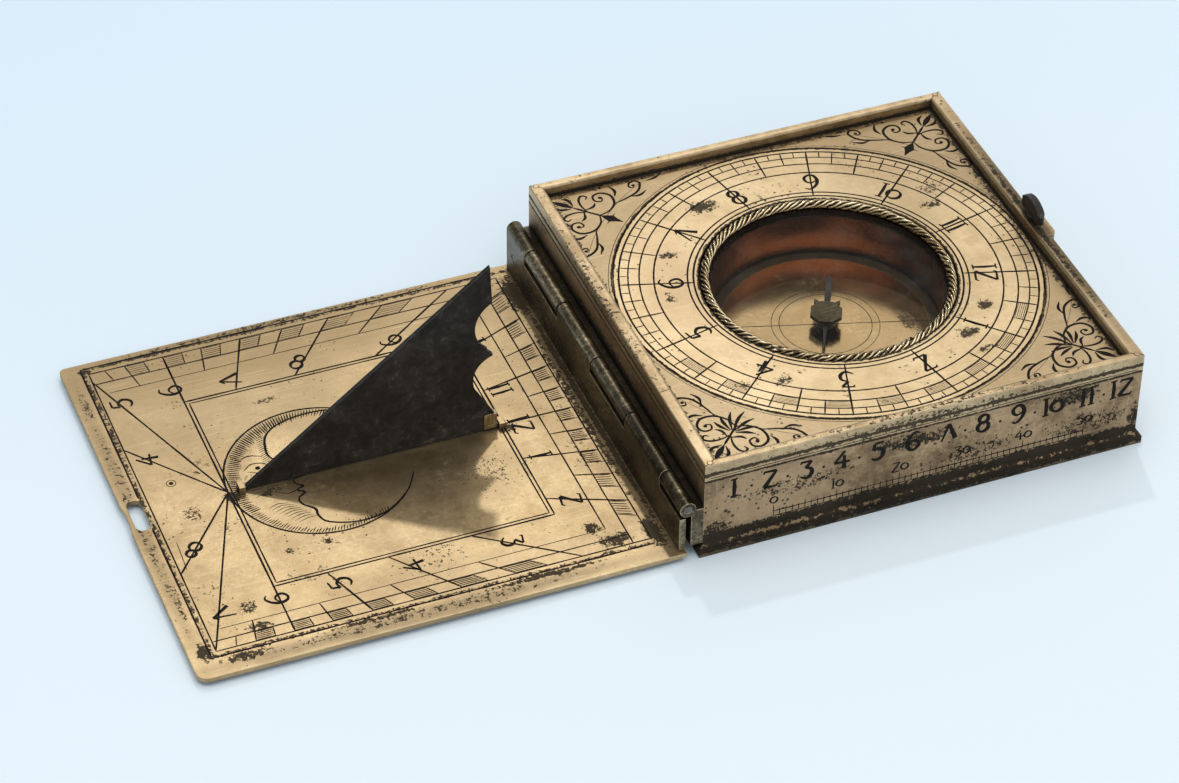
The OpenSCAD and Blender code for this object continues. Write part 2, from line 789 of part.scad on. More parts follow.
// Cap: an eight-sided top with two pointed ears, and a boss through the needle
// that is hollow under the pivot's point
module needle_cap() {
    ear_turn = 35;
    bore_r = pivot_r + 0.25;
    color("saddlebrown") rotate([0, 0, needle_deg])
        translate([0, 0, floor_z + needle_up]) difference() {
            union() {
                translate([0, 0, needle_t]) linear_extrude(cap_t) union() {
                    rotate([0, 0, 22.5]) circle(r = cap_r, $fn = 8);
                    for (s = [-1, 1]) rotate([0, 0, s * ear_turn]) polygon([
                        [0, -ear_w / 2],
                        [ear_reach - ear_w, -ear_w / 2],
                        [ear_reach, 0],
                        [ear_reach - ear_w, ear_w / 2],
                        [0, ear_w / 2]]);
                }
                translate([0, 0, -boss_drop])
                    cylinder(r = boss_r, h = boss_drop + needle_t + cap_t / 2, $fn = fine_fn);
            }
            translate([0, 0, -boss_drop - cut])
                cylinder(r = bore_r, h = boss_drop + cut + needle_t, $fn = fine_fn);
        }
}

base_plate();
wall_front();
wall_back();
wall_hinge_side();
wall_latch_side();
rim_front();
rim_back();
rim_hinge_side();
rim_latch_side();
rim_pins();
corner_plate();
carrier_plate();
case_hinge_leaf();
hinge_pin();
latch_block();
dial_disc();
compass_bowl();
bowl_keeper();
compass_floor();
needle_pivot();
compass_glass();
twisted_ring();
needle();
needle_cap();
lid_plate();
lid_hinge_leaf();
gnomon_bearings();
gnomon_plate();
gnomon_clip();
gnomon_pin();
turn_button();
stem_collar();
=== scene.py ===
import bpy
import json
import math
import random
import numpy as np
from mathutils import Matrix, Vector


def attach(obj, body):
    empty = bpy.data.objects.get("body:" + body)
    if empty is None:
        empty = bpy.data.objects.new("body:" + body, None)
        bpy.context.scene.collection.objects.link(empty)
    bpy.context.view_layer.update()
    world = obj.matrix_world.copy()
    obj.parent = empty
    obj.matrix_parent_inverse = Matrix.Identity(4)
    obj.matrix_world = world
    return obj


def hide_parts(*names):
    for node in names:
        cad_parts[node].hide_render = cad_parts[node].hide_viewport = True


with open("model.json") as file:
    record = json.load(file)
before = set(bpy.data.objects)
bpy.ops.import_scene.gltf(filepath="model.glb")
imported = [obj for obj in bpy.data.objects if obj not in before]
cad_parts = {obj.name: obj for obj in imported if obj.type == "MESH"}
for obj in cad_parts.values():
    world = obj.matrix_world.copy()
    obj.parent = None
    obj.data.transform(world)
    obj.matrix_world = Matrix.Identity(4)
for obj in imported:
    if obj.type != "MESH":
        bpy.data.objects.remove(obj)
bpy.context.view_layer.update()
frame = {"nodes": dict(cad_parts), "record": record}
nodes = frame["nodes"]
scene = bpy.context.scene
mm = 0.001
print("frame loaded:", len(nodes), "nodes")


# node helpers

def applied(step, turned=False):
    return lambda self, other: reckon(self.tree, step, *((other, self) if turned else (self, other)))


class Wire:  # a socket that can stand in a sum
    def __init__(self, tree, socket):
        self.tree = tree
        self.socket = socket

    __add__, __radd__ = applied("ADD"), applied("ADD", True)
    __sub__, __rsub__ = applied("SUBTRACT"), applied("SUBTRACT", True)
    __mul__, __rmul__ = applied("MULTIPLY"), applied("MULTIPLY", True)


def join(tree, value, socket):
    if isinstance(value, Wire):
        tree.links.new(value.socket, socket)
    else:
        socket.default_value = value


def reckon(tree, step, *values):
    node = tree.nodes.new("ShaderNodeMath")
    node.operation = step
    for socket, value in zip(node.inputs, values):
        join(tree, value, socket)
    return Wire(tree, node.outputs[0])


class Bench:  # puts nodes into one tree
    def __init__(self, tree):
        self.tree = tree

    def put(self, kind, settings=None, sockets=None, out=0):
        node = self.tree.nodes.new(kind)
        for name, value in (settings or {}).items():
            if name == "stops":
                self.stops(node.color_ramp, value)
            else:
                setattr(node, name, value)
        for name, value in (sockets or {}).items():
            join(self.tree, value, node.inputs[name])
        return Wire(self.tree, node.outputs[out]) if len(node.outputs) else None

    def stops(self, ramp, values):
        first, last = values[0], values[-1]
        ramp.elements[0].position, ramp.elements[0].color = first
        ramp.elements[1].position, ramp.elements[1].color = last
        for place, colour in values[1:-1]:
            ramp.elements.new(place).color = colour

    def math(self, step, *values):
        return reckon(self.tree, step, *values)

    def vector(self, step, a, b, out=0):
        return self.put("ShaderNodeVectorMath", {"operation": step}, {0: a, 1: b}, out)

    def length(self, place):
        return self.put("ShaderNodeVectorMath", {"operation": "LENGTH"}, {0: place}, 1)

    def parts(self, place):  # its x, y and z
        node = self.put("ShaderNodeSeparateXYZ", {}, {"Vector": place}).socket.node
        return [Wire(self.tree, output) for output in node.outputs]

    def noise(self, place, scale, detail=4.0, rough=0.55, warp=0.0):
        return self.put("ShaderNodeTexNoise", {}, {"Vector": place, "Scale": scale, "Detail": detail,
                                                   "Roughness": rough, "Distortion": warp})

    def fade(self, value, low, high):
        return self.put("ShaderNodeMapRange", {"interpolation_type": "SMOOTHSTEP"},
                        {"Value": value, "From Min": low, "From Max": high})

    def bump(self, height, strength, normal):
        return self.put("ShaderNodeBump", {}, {
            "Height": height, "Strength": strength, "Distance": 0.05 * mm, "Normal": normal})

    def edges(self, radius):  # a softened normal, and how far it agrees with the face
        softened = self.put("ShaderNodeBevel", {"samples": 4}, {"Radius": radius * mm})
        return softened, self.vector("DOT_PRODUCT", softened, self.put("ShaderNodeNewGeometry", out=1), 1)

    def blend(self, share, a, b):
        return self.put("ShaderNodeMix", {"data_type": "RGBA"}, {0: share, 6: a, 7: b}, 2)


def newMaterial(name):
    material = bpy.data.materials.new(name)
    material.use_nodes = True
    material.node_tree.nodes.clear()
    bench = Bench(material.node_tree)
    where = bench.put("ShaderNodeTexCoord", out=3)
    place = bench.put("ShaderNodeVectorMath", {"operation": "SCALE"}, {"Vector": where, "Scale": 1000.0})
    return material, bench, place


def closeMaterial(material, bench, sockets):
    shader = bench.put("ShaderNodeBsdfPrincipled", {}, sockets)
    bench.put("ShaderNodeOutputMaterial", {}, {"Surface": shader})
    return material


def newThing(name, data):
    thing = bpy.data.objects.new(name, data)
    scene.collection.objects.link(thing)
    return thing


def shade(red, green, blue):  # a colour as the eye reads it, 0 to 255, made linear
    def linear(value):
        value = value / 255
        return value / 12.92 if value <= 0.04045 else ((value + 0.055) / 1.055) ** 2.4
    return (linear(red), linear(green), linear(blue), 1.0)


# studio

studio = {
    "eye": (-0.20768, -0.41792, 0.38581),
    "right": (0.93015, -0.36705, 0.00996),
    "up": (0.2302, 0.6041, 0.7629),
    "lens": 120.32,
    "lampWay": (0.184, 0.585, 0.790),
    "lampFar": 1.6,
    "lampSide": 0.08,
    "lampPower": 3.3,
    "lampAt": (-0.035, 0.0, 0.01),
    "floorNear": shade(233, 244, 252),
    "floorFar": shade(210, 230, 244),
    "floorSide": 40.0,
    "floorLevel": -5e-5,
    "skyHorizon": (0.78, 0.86, 0.92, 1.0),
    "skyMiddle": (0.26, 0.26, 0.26, 1.0),
    "skyTop": (2.2, 2.18, 2.14, 1.0),
    "skyBehind": (0.80, 0.84, 0.88, 1.0),
    "windowWay": (0.52, 0.66, 0.54),
    "window": (1.15, 1.12, 1.06, 1.0),
}


def makeCamera(look):
    right = Vector(look["right"]).normalized()
    up = Vector(look["up"])
    up = (up - right * up.dot(right)).normalized()
    back = right.cross(up)
    data = bpy.data.cameras.new("camera")
    data.lens = look["lens"]
    data.sensor_width = 36.0
    data.clip_start = 0.01
    data.clip_end = 100.0
    camera = newThing("camera", data)
    turn = Matrix((right, up, back)).transposed().to_4x4()
    camera.matrix_world = Matrix.Translation(look["eye"]) @ turn
    scene.camera = camera


def makeLamp(look):
    data = bpy.data.lights.new("softLamp", "AREA")
    data.shape = "DISK"
    data.size = look["lampSide"]
    data.energy = look["lampPower"]
    way = Vector(look["lampWay"]).normalized()
    lamp = newThing("softLamp", data)
    lamp.location = Vector(look["lampAt"]) + way * look["lampFar"]
    lamp.rotation_euler = way.to_track_quat("Z", "Y").to_euler()


def makeSky(look):
    world = bpy.data.worlds.new("studioSky")
    world.use_nodes = True
    world.node_tree.nodes.clear()
    bench = Bench(world.node_tree)
    way = bench.put("ShaderNodeTexCoord", out=0)
    depth, height = bench.parts(way)[1:]
    sky = bench.put("ShaderNodeValToRGB", {"stops": [
        (0.0, look["skyHorizon"]), (0.12, look["skyHorizon"]), (0.32, look["skyMiddle"]),
        (0.78, look["skyMiddle"]), (0.95, look["skyTop"])]}, {"Fac": height})
    level = bench.fade(height, 0.1, 0.3) * bench.fade(1.0 - height, 0.1, 0.3)
    behind = bench.fade(depth * -1.0, -0.1, 0.5) * level
    sky = bench.blend(behind, sky, look["skyBehind"])
    near = bench.vector("DOT_PRODUCT", way, look["windowWay"], 1)
    sky = bench.blend(bench.fade(near, 0.955, 0.975), sky, look["window"])
    light = bench.put("ShaderNodeBackground", {}, {"Color": sky, "Strength": 1.0})
    bench.put("ShaderNodeOutputWorld", {}, {"Surface": light})
    scene.world = world


def makeFloor(look):
    half, low = look["floorSide"] / 2, look["floorLevel"]
    mesh = bpy.data.meshes.new("floor")
    mesh.from_pydata([(-half, -half, low), (half, -half, low), (half, half, low), (-half, half, low)],
                     [], [(0, 1, 2, 3)])
    floor = newThing("floor", mesh)
    material, bench, place = newMaterial("paleFloor")
    depth = bench.parts(place)[1]
    # the floor is painted darker and bluer towards the far side: painted shade
    far = bench.fade(depth + bench.noise(place, 0.004, 2.0) * 60.0, -90.0, 260.0)
    mesh.materials.append(closeMaterial(material, bench, {
        "Base Color": bench.blend(far, look["floorNear"], look["floorFar"]), "Roughness": 0.9,
        "Specular IOR Level": 0.1}))


makeCamera(studio)
makeLamp(studio)
makeSky(studio)
makeFloor(studio)
scene.view_settings.view_transform = "Standard"
print("studio made")


# finishes

brass = {  # every brass is laid like this, apart from what its own settings change
    "gold": (192, 168, 128), "brown": (160, 137, 102), "pale": (218, 198, 160), "dark": (26, 22, 18),
    "rust": (64, 54, 40), "rough": 0.43, "bump": 0.35, "mottleScale": 0.42, "ragged": 1, "paleShare": 0.5,
    "scratches": ((0.35, 4.2), (-1.1, 3.2), (1.15, 5)), "scratchShare": 0.4, "dotSize": 0.17,
    "patchShare": 0.6, "crevice": (1.5, 0.9), "shelter": (0.25, 0.62), "edge": 0.16, "rubAndHighlight": 0.8,
    "beyond": (), "tints": (), "dirtAndShadeSpots": (), "borders": (), "rings": (), "levels": (),
}


def brassFinish(name, own):
    look = {**brass, **own}
    material, bench, place = newMaterial(name)
    gold, brown, bright, dirt, rust = (shade(*look[key]) for key in ("gold", "brown", "pale", "dark", "rust"))
    cloud = bench.noise(place, 0.07, 3.0, 0.5, 0.6)
    mottle = bench.noise(place, look["mottleScale"], 8.0, 0.66, 0.3)
    grain = bench.noise(place, 3.1, 3.0, 0.6)
    crumb = bench.noise(place, 1.6, 5.0, 0.7)
    ragged = ((mottle - 0.5) * 1.7 + (crumb - 0.5) * 1.3) * look["ragged"]
    tone = bench.fade(cloud * 0.4 + mottle * 0.42 + crumb * 0.18, 0.38, 0.61)
    colour = bench.blend(tone, brown, gold)
    pale = bench.fade(cloud * 0.35 + crumb * 0.65, 0.53, 0.66) * look["paleShare"]
    colour = bench.blend(pale, colour, bright)
    x, y, z = bench.parts(place)
    out = bench.length(bench.put("ShaderNodeCombineXYZ", {}, {"X": x, "Y": y}))

    def farFrom(centre, size):  # 1 where a spot ends
        return bench.length(bench.vector("DIVIDE", bench.vector("SUBTRACT", place, centre), size))

    for radius, share, tint in look["beyond"]:
        colour = bench.blend(bench.fade(out, radius, radius + 0.4) * share, colour, shade(*tint))
    for centre, size, share, tint in look["tints"]:
        spot = bench.fade(1.15 - farFrom(centre, size) + ragged * 0.35, 0.0, 0.75)
        colour = bench.blend(spot * share, colour, shade(*tint))
    scratches = None
    for turn, across in look["scratches"]:
        lane = bench.put("ShaderNodeMapping", {}, {
            "Vector": place, "Rotation": (0.0, 0.0, turn), "Scale": (0.05, across, 2.2)})
        line = bench.fade(bench.noise(lane, 1.0, 4.0, 0.7), 0.62, 0.70)
        scratches = line if scratches is None else bench.math("MAXIMUM", scratches, line)
    scratches = scratches * look["scratchShare"]
    colour = bench.blend(scratches, colour, bright)

    # everything that darkens the metal, dirt and painted shade alike, is gathered in one mask
    foul = bench.fade(bench.noise(place, 0.11, 4.0, 0.6), 0.42, 0.66)
    dots = bench.put("ShaderNodeTexVoronoi", {}, {"Vector": place, "Scale": 0.85})
    dark = bench.fade(look["dotSize"] * (foul + 0.15) - dots, -0.03, 0.04) * 0.85
    patches = bench.fade(crumb * 0.5 + mottle * 0.5 + foul * 0.10, 0.64, 0.70) * look["patchShare"]
    dark = bench.math("MAXIMUM", dark, patches)
    crumbs = ((crumb - 0.5) * 1.9 + (grain - 0.5) * 0.9) * look["ragged"] - 0.34

    def cover(field, share):  # broken darkening, dirt and painted shade alike, the more closed the larger the share
        return bench.math("MAXIMUM", dark, bench.fade(field * share + crumbs, 0.0, 0.22) * 0.94)

    def coverLine(value, middle, width, share):
        off = bench.math("ABSOLUTE", value - middle)
        return cover(bench.fade(width - off + ragged * width, 0.0, width * 0.6), share)

    # dark spots: some are dirt, some are painted shade in crevices and along walls
    for centre, size, share in look["dirtAndShadeSpots"]:
        dark = cover(bench.fade(1.1 - farFrom(centre, size) + ragged * 0.5, 0.0, 0.8), share)
    for low, high, foot, width, share in look["borders"]:
        inner = bench.math("MINIMUM", bench.math("MINIMUM", x - low[0], high[0] - x),
                           bench.math("MINIMUM", y - low[1], high[1] - y))
        inner = bench.math("ABSOLUTE", inner)
        near = bench.fade(width - inner + ragged * width * 1.3, -0.2 * width, width * 0.7)
        dark = cover(near * bench.fade(z, foot - 0.3, foot - 0.1), share)
    for radius, width, share in look["rings"]:
        dark = coverLine(out, radius, width, share)
    for height, width, share in look["levels"]:
        dark = coverLine(z, height, width, share)
    # the occlusion mask darkens hollows and gaps between parts: dirt there, and painted shade
    reach, strength = look["crevice"]
    shelter = bench.put("ShaderNodeAmbientOcclusion", {"samples": 6}, {"Distance": reach * mm}, 1)
    shelter = bench.fade(1.0 - shelter + ragged * 0.22, *look["shelter"]) * strength
    dark = bench.math("MAXIMUM", dark, shelter)

    # rounded edges rub bright: wear, and a painted highlight along the edges
    softened, turned = bench.edges(look["edge"])
    rubAndHighlight = bench.fade(1.0 - turned + ragged * 0.04, 0.02, 0.12) * look["rubAndHighlight"]
    colour = bench.blend(rubAndHighlight * (1.0 - dark * 0.5), colour, bright)
    # the dark mask takes the dirt and rust colours, for real dirt and for painted shade alike
    colour = bench.blend(dark, colour, bench.blend(mottle, dirt, rust))

    lift = grain * 0.3 + mottle * 0.9 + crumb * 0.3 - scratches * 0.2 - dark * 0.4
    return closeMaterial(material, bench, {
        "Base Color": colour,
        "Metallic": 1.0 - dark * 0.7,
        "Specular IOR Level": 0.12,
        "Roughness": look["rough"] + ragged * 0.06 + dark * 0.2 - rubAndHighlight * 0.08,
        "Normal": bench.bump(lift, look["bump"], softened)})


def ironFinish(name, look):
    material, bench, place = newMaterial(name)
    cloud = bench.noise(place, 0.16, 4.0, 0.55, 0.5)
    mottle = bench.noise(place, 0.7, 7.0, 0.65, 0.4)
    grain = bench.noise(place, 4.0, 4.0, 0.6)
    pits = bench.fade(bench.noise(place, 0.55, 2.0), 0.66, 0.72)
    black, grey, rust, bright = (shade(*look[key]) for key in ("black", "grey", "rust", "edge"))
    colour = bench.blend(bench.fade(cloud * 0.5 + mottle * 0.5, 0.38, 0.64), black, grey)
    crumb = bench.noise(place, 1.3, 5.0, 0.7)
    worn = bench.fade(mottle * 0.5 + crumb * 0.5, 0.53, 0.66) * bench.fade(cloud, 0.42, 0.6)
    colour = bench.blend(worn * look.get("rustShare", 0.4), colour, rust)
    colour = bench.blend(pits * 0.8, colour, black)
    # edges are drawn brighter: wear, and a painted highlight along the edges
    softened, turned = bench.edges(0.12)
    rubAndHighlight = bench.fade(1.0 - turned + (mottle - 0.5) * 0.1, 0.03, 0.16) * look.get("rubAndHighlight", 0.4)
    colour = bench.blend(rubAndHighlight, colour, bright)
    return closeMaterial(material, bench, {
        "Base Color": colour, "Metallic": look["metal"], "Roughness": look["rough"] + (mottle - 0.5) * 0.3,
        "Normal": bench.bump(mottle * 0.8 + grain * 0.4 - pits, 0.5, softened)})


def grooveFinish(name, look):  # the dirt that fills an engraved line, worn back to metal here and there
    material, bench, place = newMaterial(name)
    worn = bench.noise(place, look["wornScale"], 4.0, 0.6)
    fine = bench.noise(place, 2.4, 3.0)
    share = bench.fade(worn * 0.7 + fine * 0.3, look["wornFrom"], look["wornFrom"] + 0.18)
    colour = bench.blend(share, shade(*look["dirt"]), shade(*look["metal"]))
    return closeMaterial(material, bench, {
        "Base Color": colour, "Metallic": share * 0.6, "Roughness": 0.75 - share * 0.25,
        "Specular IOR Level": 0.15})


def glassFinish(name):
    material, bench, place = newMaterial(name)
    dust = bench.fade(bench.noise(place, 0.25, 5.0, 0.6), 0.45, 0.8)
    smear = bench.fade(bench.noise(place, 2.5, 2.0), 0.62, 0.7)
    return closeMaterial(material, bench, {
        "Base Color": (0.75, 0.78, 0.72, 1.0), "Roughness": 0.04 + smear * 0.2, "IOR": 1.5,
        "Alpha": 0.006 + dust * 0.012 + smear * 0.02, "Specular IOR Level": 0.06})


def spots(level, depth, rows):  # rows of x, y, half width, half length, share (and tint) on a flat face
    return [((x, y, level), (wide, long, depth), *rest) for x, y, wide, long, *rest in rows]


finishes = {
    "lid_brass": brassFinish("lidBrass", {
        "rough": .41, "dotSize": .13, "crevice": (1.8, .95),
        "borders": (((-107.7, -32), (-30, 34.4), 1.5, .45, .50),),
        # the wide tints at (-82, 30.5), (-102, 20) and (-84, 16.5) are painted shade: they darken the lid's
        # far side
        "tints": spots(1.5, 4, (
            (-82, 30.5, 46, 10, .8, (148, 128, 96)), (-102, 20, 12, 18, .45, (160, 139, 106)),
            (-46, 20, 9, 22, .45, (150, 130, 98)), (-70, -29, 30, 5, .25, (156, 136, 108)),
            (-62, -8, 14, 8, .25, (146, 130, 100)), (-84, 16.5, 22, 10, .55, (160, 140, 108))))
        + spots(1.5, 3, (
            (-76, -34.4, 38, 1.9, .85, (130, 114, 88)), (-109.6, 0, 1.3, 36, .60, (136, 118, 90)),
            (-76, 35.2, 36, .7, .60, (128, 110, 84)))),
        "dirtAndShadeSpots": spots(1.5, .6, (
            (-78, -34, 32, 1.2, .36), (-109.4, 0, 1.2, 34, .34), (-76, 35.3, 34, .6, .45),
            (-97, 34.6, 10, .5, .9), (-83, 34.6, 4, .4, .8), (-66, 34.6, 12, .4, .5),
            (-103, -33.4, 4.5, 1.4, .62), (-84, -32.8, 9, .7, .62), (-58, -32.9, 12, .7, .70),
            (-109.5, 26, .8, 5, .40), (-109.2, -19, .9, 8, .42), (-108.6, -30.8, 1.7, 2.5, .75),
            (-107.4, 20, .4, 12, .55), (-107.5, 34, 1.4, 1.2, .8), (-98.6, 6, 1, .8, .4),
            (-100.4, -24, 2, 2, .50), (-99.8, -28.5, 2.4, 1.6, .50), (-101.5, -2.3, 1.9, 2.2, .46),
            (-84, 18, 3, 1, .38), (-97, 22, 3, 1.6, .32), (-52, -.8, 2.6, 1.6, .52),
            (-60, -9, 9, 6, .27), (-95, -.8, 1.5, 1.9, .9), (-89.5, -1.8, 2.2, 1.2, .62),
            (-48.6, -26, 1.5, 1.9, .70), (-46, -29.5, 3.6, 2.2, .62), (-85, -15, 1.5, .9, .46),
            (-91, -15, 1, .8, .46), (-72, -24, 9, 4, .24), (-39.9, 28, 2.4, 7, .90),
            (-39.3, 0, .75, 37, .95), (-40.6, 0, 1, 30, .58), (-40.4, -30, 2, 4.5, .80)))}),
    "case_brass": brassFinish("caseBrass", {
        "gold": (184, 156, 122), "brown": (112, 92, 68), "pale": (206, 182, 146), "rough": .5,
        "dark": (18, 17, 15), "rust": (38, 35, 29),
        "mottleScale": .3, "patchShare": .9, "dotSize": .24,
        "tints": (
            ((-24, -35.2, 8), (14, 3, 8), .55, (206, 176, 140)),
            ((0, 0, .4), (60, 60, 1.6), .85, (58, 56, 50)),
            ((-35.1, 0, 11.5), (1, 34, 2.4), .5, (150, 116, 84))),
        "levels": ((2.6, 1.5, .95), (1, .9, .78), (13.6, .35, .85)), "crevice": (3.2, 1),
        # the first spot is painted shade: it blackens the hinge side wall behind the knuckles
        "dirtAndShadeSpots": (
            ((-35, 0, 6.5), (1.1, 42, 6), .95), ((-2, -35.2, 11.5), (10, 2, 2), .55),
            ((24, -35.2, 12), (6, 2, 2.4), .55), ((27, -35.2, 6), (12, 2, 3), .42),
            ((-20, -35.2, 9), (14, 2, 2.2), .42), ((8, -35.2, 6.5), (12, 2, 2), .42),
            ((-33, -35.2, 4), (3.5, 2, 2), .62), ((34.5, -35.2, 5), (2, 2, 3.6), .6))}),
    "rim_brass": brassFinish("rimBrass", {
        "gold": (212, 188, 150), "brown": (162, 138, 104), "rough": .4, "edge": .2,
        # the dark level at 14.8, where the rim meets the dial plate, is dirt and painted shade
        "levels": ((13.6, .25, .8), (14.8, .45, .95)), "crevice": (2.2, 1), "rubAndHighlight": 1,
        "tints": (
            # the dark tint on the latch-side rim is painted shade on its inner face
            ((34.3, -2, 16), (1.6, 36, 3), .9, (88, 75, 57)),
            ((-34.6, 0, 16), (1.4, 36, 3), .35, (140, 118, 88))),
        "dirtAndShadeSpots": (
            # the first spot, along the latch-side rim, is painted shade too
            ((33.9, 0, 16), (.8, 34, 2), .66), ((-34.6, 5, 16), (1.4, 30, 2), .38),
            ((0, -35.2, 15), (34, .8, 1.6), .44), ((0, -34.6, 16.6), (34, .8, .3), .40))}),
    "dial_brass": brassFinish("dialBrass", {
        "gold": (207, 184, 146), "brown": (186, 163, 125), "pale": (224, 204, 168), "rough": .38,
        "beyond": ((32.6, .5, (138, 118, 90)),), "crevice": (1.6, .95),
        # the dark border round the plate, next to the rim walls, is dirt and painted shade
        "borders": (((-33.1, -34), (33.1, 34), 14.7, 1.1, .9),),
        "rings": ((32.65, .35, .95), (19.6, .5, .7)),
        "tints": spots(14.7, 4, (
            (20, 20, 16, 16, .30, (156, 136, 108)), (-22, 6, 6, 14, .45, (178, 150, 118)))),
        # the spots at (32.5, 5) and (4, 33.6), along the latch-side and far rims, are painted shadow
        "dirtAndShadeSpots": spots(14.7, 2, (
            (-10.8, 22.9, 3.3, 2.1, .72), (22.2, 11.1, 2.6, 1.5, .52), (19.4, -14.2, 1.9, 1.6, .66),
            (14.2, -19.2, 2.6, 1.7, .66), (-20.6, 13.6, 2.6, 1.2, .50), (-16, -19.6, 2.2, 1.6, .50),
            (-24, 4, 1.2, 2, .46), (15, -23.6, 3, 1, .46), (-22, -18.5, 3.2, 1.3, .42),
            (24, 15, 3, 3, .36), (-32, 32, 4, 4, .40), (-32, -32, 4, 4, .40), (32.5, 5, 2, 26, .45),
            (4, 33.6, 28, 1.6, .42)))}),
    "plain_brass": brassFinish("plainBrass", {
        "gold": (190, 163, 120), "brown": (174, 148, 106), "rough": .17, "bump": .10, "ragged": .35,
        # the greenish dark tint across the floor's far part is a painted reflection and shadow of the ledge
        # under the wire ring
        "tints": (((0, 9, 5.7), (13, 3.4, 4), .55, (70, 66, 48)),),
        "dotSize": .05, "patchShare": .2, "scratchShare": .15,
        "dirtAndShadeSpots": (((12, -3.6, 5.7), (2.2, 4.2, 2), .50), ((2, -8.5, 5.7), (2.2, 1.6, 2), .35)),
        # the dark ring at 17.2 is painted shade in the corner where the floor meets the wall, with its
        # painted reflection
        "rings": ((17.2, 1.7, 1),), "crevice": (.8, .5)}),
    "hinge_brass": brassFinish("hingeBrass", {
        "gold": (110, 100, 80), "brown": (58, 53, 42), "pale": (214, 196, 160), "rough": .36,
        "dark": (20, 18, 15), "rust": (44, 38, 30),
        "mottleScale": .6, "crevice": (1.7, 1), "patchShare": .9, "rubAndHighlight": 1, "edge": .2,
        "scratchShare": .6,
        # the first spot is painted shade in the crevice between the hinge leaves and the box
        "dirtAndShadeSpots": (((-36.2, 0, 4.5), (1.6, 42, 5), .95), ((-38.7, 20, 4), (1, 16, 3), .5),
                    ((-38.7, -14, 3.5), (1, 9, 2), .5))}),
    "clip_brass": brassFinish("clipBrass", {
        "gold": (172, 156, 126), "brown": (120, 104, 78), "rough": .45, "crevice": (.8, .9)}),
    "ring_brass": brassFinish("ringBrass", {
        "gold": (232, 212, 172), "brown": (150, 128, 92), "rough": .18, "edge": .04,
        # its occlusion mask paints shade into the gaps between the wires
        "rubAndHighlight": 0, "crevice": (.55, 1), "shelter": (.14, .42), "dotSize": .3}),
    "bowl_copper": brassFinish("bowlCopper", {
        "gold": (152, 98, 74), "brown": (94, 61, 47), "pale": (172, 118, 90),
        "dark": (14, 12, 10), "rust": (26, 20, 15), "rough": .32, "dotSize": .05, "patchShare": .15,
        "ragged": .3,
        # the two dark tints, on the far wall's top and on the right wall, are painted shade
        "tints": (((0, 14, 8), (26, 18, 2.2), .35, (176, 110, 74)),
                  ((2, 17.6, 12), (8, 4, 3.4), .8, (52, 32, 25)),
                  ((17, 3, 10), (3, 8, 5), .6, (56, 40, 32))),
        # the dark levels at the wall's foot and under the ledge are painted shade
        "levels": ((5.8, .8, 1.2), (13.5, 1, 1.1)), "crevice": (.9, .3)}),
    "dark_iron": ironFinish("darkIron", {
        "black": (30, 28, 28), "grey": (56, 53, 51), "rust": (104, 98, 88), "edge": (140, 132, 120),
        "metal": .55, "rough": .5, "rustShare": .8, "rubAndHighlight": .6}),
    "steel_pin": ironFinish("steelPin", {
        "black": (70, 66, 60), "grey": (126, 120, 110), "rust": (92, 72, 52),
        "edge": (160, 154, 144), "metal": .9, "rough": .4, "rustShare": .5}),
    "needle_steel": ironFinish("needleSteel", {
        "black": (28, 27, 28), "grey": (58, 56, 56), "rust": (70, 54, 40), "edge": (110, 106, 100),
        "metal": .8, "rough": .4}),
    "cap_bronze": brassFinish("capBronze", {
        "gold": (78, 69, 52), "brown": (44, 38, 29), "pale": (150, 134, 104), "rough": .45,
        "paleShare": .25, "crevice": (.8, .8), "edge": .1}),
    "clear_glass": glassFinish("clearGlass"),
}
groove = grooveFinish("engravedLine", {
    "dirt": (24, 20, 16), "metal": (96, 80, 58), "wornScale": 0.22, "wornFrom": 0.60})
fineGroove = grooveFinish("fineLine", {
    "dirt": (34, 28, 22), "metal": (134, 114, 84), "wornScale": 0.3, "wornFrom": 0.55})

nodeFinish = {part["node"]: part["material_slot"] for part in frame["record"]["subparts"]}
for name, thing in nodes.items():
    thing.data.materials.clear()
    thing.data.materials.append(finishes[nodeFinish[name]])
print("finishes put on", len(nodeFinish), "nodes")


# engraving

